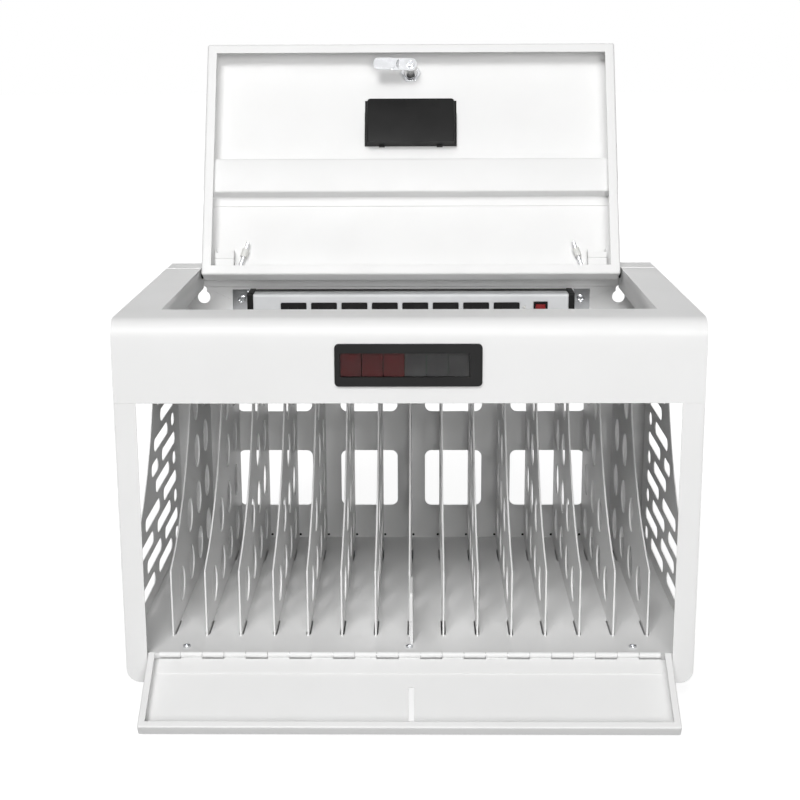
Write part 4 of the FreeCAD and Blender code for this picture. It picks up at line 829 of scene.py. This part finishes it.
def hinge_leaf(first, way):
    """Leaf with every second knuckle; way is the sign of its height and of its side."""
    shapes = []
    length = KNUCKLE_PITCH - KNUCKLE_GAP
    rim = KNUCKLE_RADIUS - KNUCKLE_CHAMFER
    barrel = [(0, 0), (rim, 0), (KNUCKLE_RADIUS, KNUCKLE_CHAMFER), (KNUCKLE_RADIUS, length - KNUCKLE_CHAMFER),
              (rim, length), (0, length)]
    flat = sorted((way * LEAF_OUT, way * LEAF_IN))
    for number in range(first, KNUCKLES, 2):
        start = number * KNUCKLE_PITCH - HINGE_SIDE + KNUCKLE_GAP / 2
        shapes.append(turned(barrel, Matrix.Translation((start, 0, 0)) @ ALONG_X, KNUCKLE_STEPS))
        neck = sorted((0, -way * LEAF_NECK * NECK_LAP))
        shapes.append(block((start, flat[0], neck[0]), (start + length, flat[1], neck[1])))
    reach = sorted((-way * LEAF_NECK, -way * LEAF_REACH))
    shapes.append(block((-HINGE_SIDE, flat[0], reach[0]), (HINGE_SIDE, flat[1], reach[1])))
    return joined(*shapes)


fixed_leaf = hinge_leaf(0, 1)
fixed_leaf.transform(Matrix.Translation(FLAP_PIVOT))
piece(fixed_leaf, "piano_leaf_fixed", "cabinet", "white_coat", ["hinge_leaf_fixed"])
piece(hinge_leaf(1, -1), "piano_leaf_flap", "flap", "white_coat", ["hinge_leaf_flap"])
print("hinge knuckles:", KNUCKLES)

# %% [markdown]
# ## Hinge pins of the lid
# Two bent rods with nylon sleeves carry the lid and can be drawn inward. A circle is extruded along the
# leg, spun round the bend and extruded along the handle, which keeps the rod one closed skin. The right pin
# is the mirror image of the left one.

# %% Hinge pins of the lid
ROD_RADIUS, ROD_TIP, ROD_CORNER, ROD_LEAN, ROD_HANDLE, ROD_BEND = 2.5, 290.2, 234, 13, 44, 8
ROD_STEPS, ROD_BEND_STEPS = 20, 10
COLLAR_START, COLLAR_END, COLLAR_RADIUS, COLLAR_CHAMFER, COLLAR_STEPS = 24, 36, 4.6, 0.6, 24
lean = math.atan2(ROD_LEAN, ROD_HANDLE)
bend_turn = math.pi / 2 - lean
bend_run = ROD_BEND * math.tan(bend_turn / 2)


def lid_rod():
    """Left pin: leg along X from the tip, a bend, and a handle that leans inward."""
    shape = bmesh.new()
    start = Matrix.Translation((-ROD_TIP, 0, 0)) @ ALONG_X
    ends = bmesh.ops.create_circle(shape, cap_ends=False, segments=ROD_STEPS, radius=ROD_RADIUS,
                                   matrix=start)["verts"]
    front = list({edge for vertex in ends for edge in vertex.link_edges})
    leg = ROD_TIP - ROD_CORNER - bend_run
    handle = Vector((math.sin(lean), -math.cos(lean), 0)) * (math.hypot(ROD_LEAN, ROD_HANDLE) - bend_run)
    for move in (Vector((leg, 0, 0)), None, handle):
        if move is None:
            turn = bmesh.ops.spin(shape, geom=front, cent=(-ROD_CORNER - bend_run, -ROD_BEND, 0),
                                  axis=(0, 0, 1), angle=-bend_turn, steps=ROD_BEND_STEPS)["geom_last"]
        else:
            turn = bmesh.ops.extrude_edge_only(shape, edges=front)["geom"]
            bmesh.ops.translate(shape, verts=corners_in(turn), vec=move)
        moved = set(corners_in(turn))
        front = [item for item in turn if isinstance(item, bmesh.types.BMEdge) and set(item.verts) <= moved]
        front = [edge for edge in front if len(edge.link_faces) < 2]
    bmesh.ops.holes_fill(shape, edges=[edge for edge in shape.edges if edge.is_boundary])
    bmesh.ops.recalc_face_normals(shape, faces=shape.faces[:])
    return shape


def on_both_sides(make, name, bodies, slot, stands_for=None, **more):
    """Left piece and its mirror image."""
    for side, body in zip(("left", "right"), bodies):
        shape = make()
        if side == "right":
            bmesh.ops.scale(shape, verts=shape.verts[:], vec=(-1, 1, 1))
            bmesh.ops.recalc_face_normals(shape, faces=shape.faces[:])
        covered = [stands_for + "_" + side] if stands_for else ()
        piece(shape, name + "_" + side, body, slot, covered, **more)


def lid_collar():
    """Sleeve on the handle of the left pin."""
    rim = COLLAR_RADIUS - COLLAR_CHAMFER
    tube = [(ROD_RADIUS, COLLAR_START), (rim, COLLAR_START), (COLLAR_RADIUS, COLLAR_START + COLLAR_CHAMFER),
            (COLLAR_RADIUS, COLLAR_END - COLLAR_CHAMFER), (rim, COLLAR_END), (ROD_RADIUS, COLLAR_END)]
    slant = Matrix.Rotation(lean, 4, "Z") @ TO_FRONT
    return turned(tube + tube[:1], Matrix.Translation((-ROD_CORNER, 0, 0)) @ slant, COLLAR_STEPS)


on_both_sides(lid_rod, "hinge_rod", ("pin_left", "pin_right"), "zinc", "lid_pin", edge=0.5)
on_both_sides(lid_collar, "rod_sleeve", ("pin_left", "pin_right"), "white_nylon", "lid_collar")
print("rod bend:", round(math.degrees(bend_turn), 1), "degrees")

# %% [markdown]
# ## Bushes
# Black plastic bushes line the holes for the hinge pins in the walls of the top opening. Their profile is
# closed, so the spin makes a tube with a collar.

# %% Bushes
BUSH_COLLAR, BUSH_LIP, BUSH_SLEEVE, BUSH_REACH, BUSH_BORE = 7.5, 1.4, 4.5, 6.2, 2.55
BUSH_CHAMFER, BUSH_STEPS = 0.4, 28
bush = [(BUSH_BORE, -BUSH_LIP), (BUSH_COLLAR - BUSH_CHAMFER, -BUSH_LIP),
        (BUSH_COLLAR, BUSH_CHAMFER - BUSH_LIP), (BUSH_COLLAR, 0),
        (BUSH_SLEEVE, 0), (BUSH_SLEEVE, BUSH_REACH), (BUSH_BORE, BUSH_REACH)]
bushes = []
for sign in (-1, 1):
    wall = Matrix.Translation((sign * OPENING_SIDE, LID_PIVOT[1], LID_PIVOT[2]))
    outward = Matrix.Rotation(sign * math.pi / 2, 4, "Y")
    bushes.append(turned(bush + bush[:1], wall @ outward, BUSH_STEPS))
piece(joined(*bushes), "pin_bushes", "cabinet", "black_plastic", ["lid_bushes"])
print("bushes:", len(bushes))

# %% [markdown]
# ## Cam lock
# The lock has a threaded barrel, a hexagon nut, a plug with a key slot and a stepped cam. Its threads could
# be a helix; rings in the turned profile look the same at this size and spin in one go.

# %% Cam lock
LOCK_Y, LOCK_BARREL, LOCK_REACH, LOCK_CHAMFER, LOCK_STEPS = -291, 9, 32, 1, 40
THREAD_DEPTH, THREAD_PITCH, THREAD_START, THREAD_STOP = 0.5, 1.5, 0.8, 4
LOCK_FLANGE, FLANGE_EDGE, FLANGE_HEIGHT, PLUG_HOLE, PLUG_SINK = 12, 1.2, 2, 5.6, 1
lock_low = LID_TOP - LOCK_REACH
AT_LOCK = Matrix.Translation((0, LOCK_Y, 0))
barrel = [(0, lock_low), (LOCK_BARREL - LOCK_CHAMFER, lock_low)]
turns = int((LOCK_REACH - THREAD_STOP) / THREAD_PITCH)
for number in range(turns):
    height = lock_low + THREAD_START + number * THREAD_PITCH
    barrel += [(LOCK_BARREL, height), (LOCK_BARREL - THREAD_DEPTH, height + THREAD_PITCH / 2)]
barrel += [(LOCK_BARREL, LID_TOP), (LOCK_FLANGE, LID_TOP), (LOCK_FLANGE, LID_TOP + FLANGE_EDGE),
           (LOCK_FLANGE - LOCK_CHAMFER, LID_TOP + FLANGE_HEIGHT), (PLUG_HOLE, LID_TOP + FLANGE_HEIGHT),
           (PLUG_HOLE, LID_TOP - PLUG_SINK), (0, LID_TOP - PLUG_SINK)]
piece(turned(barrel, AT_LOCK, LOCK_STEPS), "lock_barrel", "lid", "chrome", ["lock_body"])

NUT_FLATS, NUT_HEIGHT, NUT_SIDES = 24, 5, 6
corner = NUT_FLATS / math.sqrt(3)
turn_angles = [math.radians(360 / NUT_SIDES * side) for side in range(NUT_SIDES)]
hexagon = [(corner * math.cos(angle), corner * math.sin(angle) + LOCK_Y) for angle in turn_angles]
nut = cut_sheet([hexagon, ring((0, LOCK_Y), LOCK_BARREL)], NUT_HEIGHT, level_at(LID_SKIN - NUT_HEIGHT))
piece(nut, "lock_hexagon_nut", "lid", "zinc", ["lock_nut"], edge=0.7)

PLUG_RADIUS, PLUG_HEIGHT, KEY_LENGTH, KEY_WIDTH, KEY_CORNER = 5.5, 2.6, 8, 1.4, 0.5
key_slot = rounded((-KEY_WIDTH / 2, LOCK_Y - KEY_LENGTH / 2), (KEY_WIDTH / 2, LOCK_Y + KEY_LENGTH / 2),
                   KEY_CORNER)
plug_face = cut_sheet([ring((0, LOCK_Y), PLUG_RADIUS), key_slot], PLUG_HEIGHT, level_at(LID_TOP - PLUG_SINK))
piece(plug_face, "lock_key_face", "cam", "chrome", ["lock_plug"], edge=0.3)

CAM_TIP, CAM_STEP, CAM_GROOVE, CAM_END, CAM_HALF, CAM_SHEET, CAM_GAP = -51, -20, 1.6, 8.5, 8.5, 2, 0.4
CAM_ROOT_CORNER, CAM_TIP_CORNER, CAM_BRIDGE, CAM_BRIDGE_CORNER = CAM_HALF - 0.1, 7, (-26, -16), 0.5
cam_high = lock_low - CAM_GAP
cam_plates = []
# Left and right end, corner radius and layer of the root, the tip and the bridge between them.
for left, right, radius, layer in ((CAM_STEP, CAM_END, CAM_ROOT_CORNER, 1),
                                   (CAM_TIP, CAM_STEP - CAM_GROOVE, CAM_TIP_CORNER, 2),
                                   (*CAM_BRIDGE, CAM_BRIDGE_CORNER, 1)):
    plate = [rounded((left, LOCK_Y - CAM_HALF), (right, LOCK_Y + CAM_HALF), radius)]
    cam_plates.append(cut_sheet(plate, CAM_SHEET, level_at(cam_high - layer * CAM_SHEET)))
piece(joined(*cam_plates), "lock_stepped_cam", "cam", "zinc", ["lock_cam"], edge=0.4)
print("thread turns:", turns)

# %% [markdown]
# ## Screw heads
# The cam, the floor and the strip are held by small cross-head screws. Each head is a thin disc with a
# round plate on it; the plate has the cross cut out, and its upper rim is bevelled. The shares below are
# parts of the head's radius and height, so one function serves all sizes.

# %% Screw heads
CROSS_ARM, CROSS_HALF = 0.66, 0.2
DISC_SHARE, CROWN_SHARE, DOME_SHARE, RIM_SHARE = 0.2, 0.8, 0.35, 0.9
DISC_STEPS = 48


def screw_head(size, place):
    """Head of a (radius, height) size with a cross recess, its underside on the XY plane of its place."""
    radius, height = size
    disc = height * DISC_SHARE
    arm, half = radius * CROSS_ARM, radius * CROSS_HALF
    cross = [(arm, -half), (arm, half), (half, half), (half, arm), (-half, arm), (-half, half), (-arm, half),
             (-arm, -half), (-half, -half), (-half, -arm), (half, -arm), (half, -half)]
    crown = cut_sheet([ring((0, 0), radius), cross], height * CROWN_SHARE, level_at(disc))
    bend(crown, height * DOME_SHARE,
         lambda middle: near(middle.z, height) and middle.xy.length > radius * RIM_SHARE)
    whole = joined(crown, turned([(0, 0), (radius, 0), (radius, disc), (0, disc)], steps=DISC_STEPS))
    whole.transform(place)
    return whole


CAM_SCREW = (5.4, 4)
DOWN = Matrix.Rotation(math.pi, 4, "X")
piece(screw_head(CAM_SCREW, AT_LOCK @ level_at(cam_high - CAM_SHEET) @ DOWN), "cam_screw", "cam", "zinc")
print("cam screw:", 2 * CAM_SCREW[0], "wide")

# %% [markdown]
# ## Pull of the lid
# The pull is a black moulded cup that is let into the lid, so its back is what shows when the lid is open.
# A box gets a sloped floor at the front and round corners, and loses its top. The rim, the ears at the
# sides and the small feet that clip behind the lid are plain blocks and a cut plate.

# %% Pull of the lid
PULL_DEPTH, PULL_SLOPE, PULL_WALL, PULL_RIM, PULL_LIP, PULL_EAR = 20, 26, 2, 5, 1.6, 3
SLOPE_DROP, CUP_CORNER, CUP_BEND, EAR_START, EAR_DEPTH = 11, 5, 2.5, 20, 6
RIM_CORNER, MOUTH_CORNER = 5, 3
CLIP_PLACES, CLIP_LENGTH, CLIP_REACH = (-44, 36), 8, 1.6
cup_side = PULL_SIDE - PULL_EAR
cup_low = LID_TOP - PULL_DEPTH
cup = tray((-cup_side, PULL_FRONT, cup_low), (cup_side, PULL_REAR, LID_TOP), 1, lambda middle: False, ())
bmesh.ops.bisect_plane(cup, geom=cup.verts[:] + cup.edges[:] + cup.faces[:],
                       plane_co=(0, PULL_FRONT + PULL_SLOPE, 0), plane_no=(0, 1, 0))
for vertex in cup.verts:
    if near(vertex.co.y, PULL_FRONT) and near(vertex.co.z, cup_low):
        vertex.co.z += SLOPE_DROP
bend(cup, CUP_CORNER, lambda middle: near(abs(middle.x), cup_side) and near(middle.y, PULL_FRONT))
bend(cup, CUP_BEND, lambda middle: middle.z < LID_TOP - PULL_DEPTH / 2
     and not near(middle.y, PULL_FRONT + PULL_SLOPE) and abs(middle.x) > cup_side - CUP_CORNER)
bmesh.ops.delete(cup, geom=facing(cup, "+z"), context="FACES")
piece(cup, "pull_cup", "lid", "black_plastic", ["lid_pull"], wall=PULL_WALL, edge=0.5)

rim_side, mouth_side = PULL_SIDE + PULL_RIM, cup_side - PULL_WALL
rim_cut = [rounded((-rim_side, PULL_FRONT - PULL_RIM), (rim_side, PULL_REAR + PULL_RIM), RIM_CORNER),
           rounded((-mouth_side, PULL_FRONT + PULL_WALL), (mouth_side, PULL_REAR - PULL_WALL), MOUTH_CORNER)]
shapes = [cut_sheet(rim_cut, PULL_LIP, level_at(LID_TOP))]
ear_low = LID_SKIN - EAR_DEPTH
for sign in (-1, 1):
    ear = sorted((sign * cup_side, sign * PULL_SIDE))
    shapes.append(block((ear[0], PULL_FRONT + EAR_START, ear_low), (ear[1], PULL_REAR, LID_TOP)))
for x in CLIP_PLACES:
    shapes.append(block((x, PULL_REAR, ear_low), (x + CLIP_LENGTH, PULL_REAR + CLIP_REACH, LID_SKIN)))
piece(joined(*shapes), "pull_rim", "lid", "black_plastic", edge=0.4)
print("pull:", 2 * PULL_SIDE, "by", PULL_REAR - PULL_FRONT)

# %% [markdown]
# ## Pin brackets
# A small folded bracket in each rear corner of the lid guides its hinge pin. The brackets keep their CAD
# shape; only the thin web across their open side is added here, as two plates.

# %% Pin brackets
BRACKET_NEAR, BRACKET_FAR, BRACKET_FRONT, BRACKET_REAR, BRACKET_LOW = -239, -264, -26, -3, -10.2
WEB_STEP = 8


def bracket_web():
    """Plate across the open side of the left bracket, with a narrow step at its front."""
    web = block((BRACKET_FAR, BRACKET_FRONT, BRACKET_LOW), (BRACKET_NEAR, BRACKET_REAR, BRACKET_LOW + SHEET))
    step = block((BRACKET_FAR, BRACKET_FRONT, BRACKET_LOW - SHEET),
                 (BRACKET_NEAR, BRACKET_FRONT + WEB_STEP, BRACKET_LOW))
    return joined(web, step)


on_both_sides(bracket_web, "bracket_web", ("lid", "lid"), "white_coat", edge=0.3)
print("bracket webs:", 2)

# %% [markdown]
# ## Display
# A black moulded frame with round corners holds a smoked pane. Behind the pane stand three red and three
# grey digit blocks; soft edges on the blocks catch thin lines of light between them.

# %% Display
BEZEL_SIDE, BEZEL_LOW, BEZEL_HIGH, BEZEL_PROUD, SLEEVE_DEPTH = 82, 385, 433, 3, 14
BEZEL_CORNER, SLEEVE_MARGIN, SLEEVE_CORNER, PANE_CORNER = 5, 4, 2, 1
PANE = ((-76, 395.5), (68, 422.5))
mouth = rounded(*PANE, PANE_CORNER)
rim = rounded((-BEZEL_SIDE, BEZEL_LOW), (BEZEL_SIDE, BEZEL_HIGH), BEZEL_CORNER)
frame_front = cut_sheet([rim, mouth], BEZEL_PROUD, front_at(FRONT))
sleeve_side = BEZEL_SIDE - SLEEVE_MARGIN
tube = rounded((-sleeve_side, BEZEL_LOW + SLEEVE_MARGIN), (sleeve_side, BEZEL_HIGH - SLEEVE_MARGIN),
               SLEEVE_CORNER)
sleeve = cut_sheet([tube, mouth], SLEEVE_DEPTH, front_at(FRONT + SLEEVE_DEPTH))
piece(joined(frame_front, sleeve), "display_frame", "cabinet", "black_plastic", ["display_bezel"], edge=1.0)

DIGITS, DIGITS_EACH, DIGIT_GAP, DIGIT_MARGIN, DIGIT_CORNER = 6, 3, 0.8, 0.4, 0.6
DIGIT_DEPTH, DIGIT_REAR = 10, 10.2
pitch = (PANE[1][0] - PANE[0][0]) / DIGITS
for name, slot, start in (("digits_red", "digit_red", 0), ("digits_grey", "digit_grey", DIGITS_EACH)):
    blocks = []
    for number in range(start, start + DIGITS_EACH):
        left = PANE[0][0] + number * pitch + DIGIT_GAP / 2
        right = left + pitch - DIGIT_GAP
        cell = rounded((left, PANE[0][1] + DIGIT_MARGIN), (right, PANE[1][1] - DIGIT_MARGIN), DIGIT_CORNER)
        blocks.append(cut_sheet([cell], DIGIT_DEPTH, front_at(FRONT + DIGIT_REAR)))
    piece(joined(*blocks), name.replace("digits", "digit_blocks"), "cabinet", slot, [name], edge=0.8)
print("digits:", DIGITS, "pitch", pitch)

# %% [markdown]
# ## Power strip
# The strip lies across the back of the charger room. Its cover keeps the CAD shape, welded and with soft
# edges; the outlets are plates with real slots in front of a dark block, and the switch has a red rocker.

# %% Power strip
SOCKETS, SOCKET_FIRST, SOCKET_PITCH, SOCKET_SIDE, SOCKET_RISE = 8, -159, 41.3, 17.5, 12.5
SOCKET_Z, SOCKET_FACE, STRIP_FACE, SOCKET_PLATE, SOCKET_DEPTH = 400, 168.2, 168.8, 2.5, 9
SOCKET_CORNER, BLADE_CORNER, EARTH_DROP, EARTH_RADIUS = 2, 0.3, 5.5, 2.5
# Left, right, bottom and top of the two blade slots, from the middle of an outlet.
BLADES = ((-7.4, -5.4, -2, 7), (5.4, 7.4, -1, 6))
outlets = []
for number in range(SOCKETS):
    x = SOCKET_FIRST + number * SOCKET_PITCH
    outer = rounded((x - SOCKET_SIDE, SOCKET_Z - SOCKET_RISE), (x + SOCKET_SIDE, SOCKET_Z + SOCKET_RISE),
                    SOCKET_CORNER)
    holes = [rounded((x + left, SOCKET_Z + low), (x + right, SOCKET_Z + high), BLADE_CORNER)
             for left, right, low, high in BLADES]
    holes.append(ring((x, SOCKET_Z - EARTH_DROP), EARTH_RADIUS))
    outlets.append(cut_sheet([outer] + holes, SOCKET_PLATE, front_at(SOCKET_FACE + SOCKET_PLATE)))
    outlets.append(cut_sheet([outer], SOCKET_DEPTH - SOCKET_PLATE, front_at(SOCKET_FACE + SOCKET_DEPTH)))
piece(joined(*outlets), "outlets", "cabinet", "black_plastic", ["sockets"], edge=0.3)

LAMP_X, LAMP_Z, LAMP_STEPS = 154, 406, 20
LAMP_DOME = [(0, 2.4), (1.2, 2.1), (2.0, 1.2), (2.2, 0), (0, 0)]
strip_lamp = turned(LAMP_DOME, front_at(STRIP_FACE, LAMP_X, LAMP_Z), LAMP_STEPS)
piece(strip_lamp, "strip_lamp", "cabinet", "white_nylon")

EAR_X, EAR_Z, EAR_FACE, EAR_SCREW = 234.5, 410, 212.8, (5.2, 3.2)
FLOOR_SCREW_X, FLOOR_SCREW_Y, FLOOR_SCREW = (-263, 0, 263), -188, (4.6, 2.2)
heads = [screw_head(EAR_SCREW, front_at(EAR_FACE, x, EAR_Z)) for x in (-EAR_X, EAR_X)]
piece(joined(*heads), "ear_screws", "cabinet", "zinc")
heads = [screw_head(FLOOR_SCREW, Matrix.Translation((x, FLOOR_SCREW_Y, FLOOR_Z))) for x in FLOOR_SCREW_X]
piece(joined(*heads), "floor_screws", "cabinet", "zinc")
print("outlets:", SOCKETS)

# %% [markdown]
# ## Floor
# The raised floor takes the tabs of the dividers in slots that are a little too wide, so each foot shows a
# dark slit beside the plate. The outer size comes from the CAD piece. Small rivets sit in the back panel,
# low down behind each divider.

# %% Floor
FLOOR_SLOT, SLOT_ENDS = 2.8, 0.8
FLANGE_SIDE = 314
RIVET_SIDE, RIVET_Z, RIVET_STEPS = 2.8, 67, 12
RIVET_DOME = [(0, 0.8), (1.2, 0.6), (1.7, 0)]


def cad_extent(name):
    """Lowest and highest corner of a CAD piece, in millimetres."""
    corners = [Vector(corner) / MM for corner in nodes[name].bound_box]
    return [[pick(corner[axis] for corner in corners) for axis in range(3)] for pick in (min, max)]


floor_low, floor_high = cad_extent("floor_pan")
floor_cut = [rectangle(floor_low, floor_high)]
rivets = []
for number in range(1, DIVIDERS + 1):
    x = divider_x(number)
    for start, end in TABS:
        floor_cut.append(rectangle((x - FLOOR_SLOT, start - SLOT_ENDS), (x + FLOOR_SLOT, end + SLOT_ENDS)))
    rivet_x = x + (RIVET_SIDE if x <= 0 else -RIVET_SIDE)
    rivets.append(turned(RIVET_DOME, front_at(BACK - SHEET, rivet_x, RIVET_Z), RIVET_STEPS))
shapes = [cut_sheet(floor_cut, SHEET, level_at(FLOOR_Z - SHEET))]
for front in (floor_low[1], floor_high[1] - SHEET):
    shapes.append(block((-FLANGE_SIDE, front, floor_low[2]), (FLANGE_SIDE, front + SHEET, FLOOR_Z - SHEET)))
piece(joined(*shapes), "raised_floor", "cabinet", "white_coat", ["floor_pan"])
piece(joined(*rivets), "foot_rivets", "cabinet", "black_plastic")
print("floor slots:", len(floor_cut) - 1)

# %% [markdown]
# ## Soft edges on kept pieces
# CAD pieces that nothing replaces keep their shape. In those that show, a Weld modifier joins the loose
# triangles, and a narrow Bevel gives the edges the small highlight that painted or moulded edges have.

# %% Soft edges
WELD_REACH = 0.01
KEPT_EDGES = {"lid_bracket_left": 0.5, "lid_bracket_right": 0.5, "strip_cover": 1.2, "strip_caps": 1.5,
              "strip_ears": 0.3, "strip_base": 0.8, "switch_frame": 0.6, "rocker": 0.6, "display_pane": 0.4}
for name, width in KEPT_EDGES.items():
    thing = nodes[name]
    weld = thing.modifiers.new("weld", "WELD")
    weld.merge_threshold = WELD_REACH * MM
    soft_edge(thing, width, False)
print("softened:", len(KEPT_EDGES))
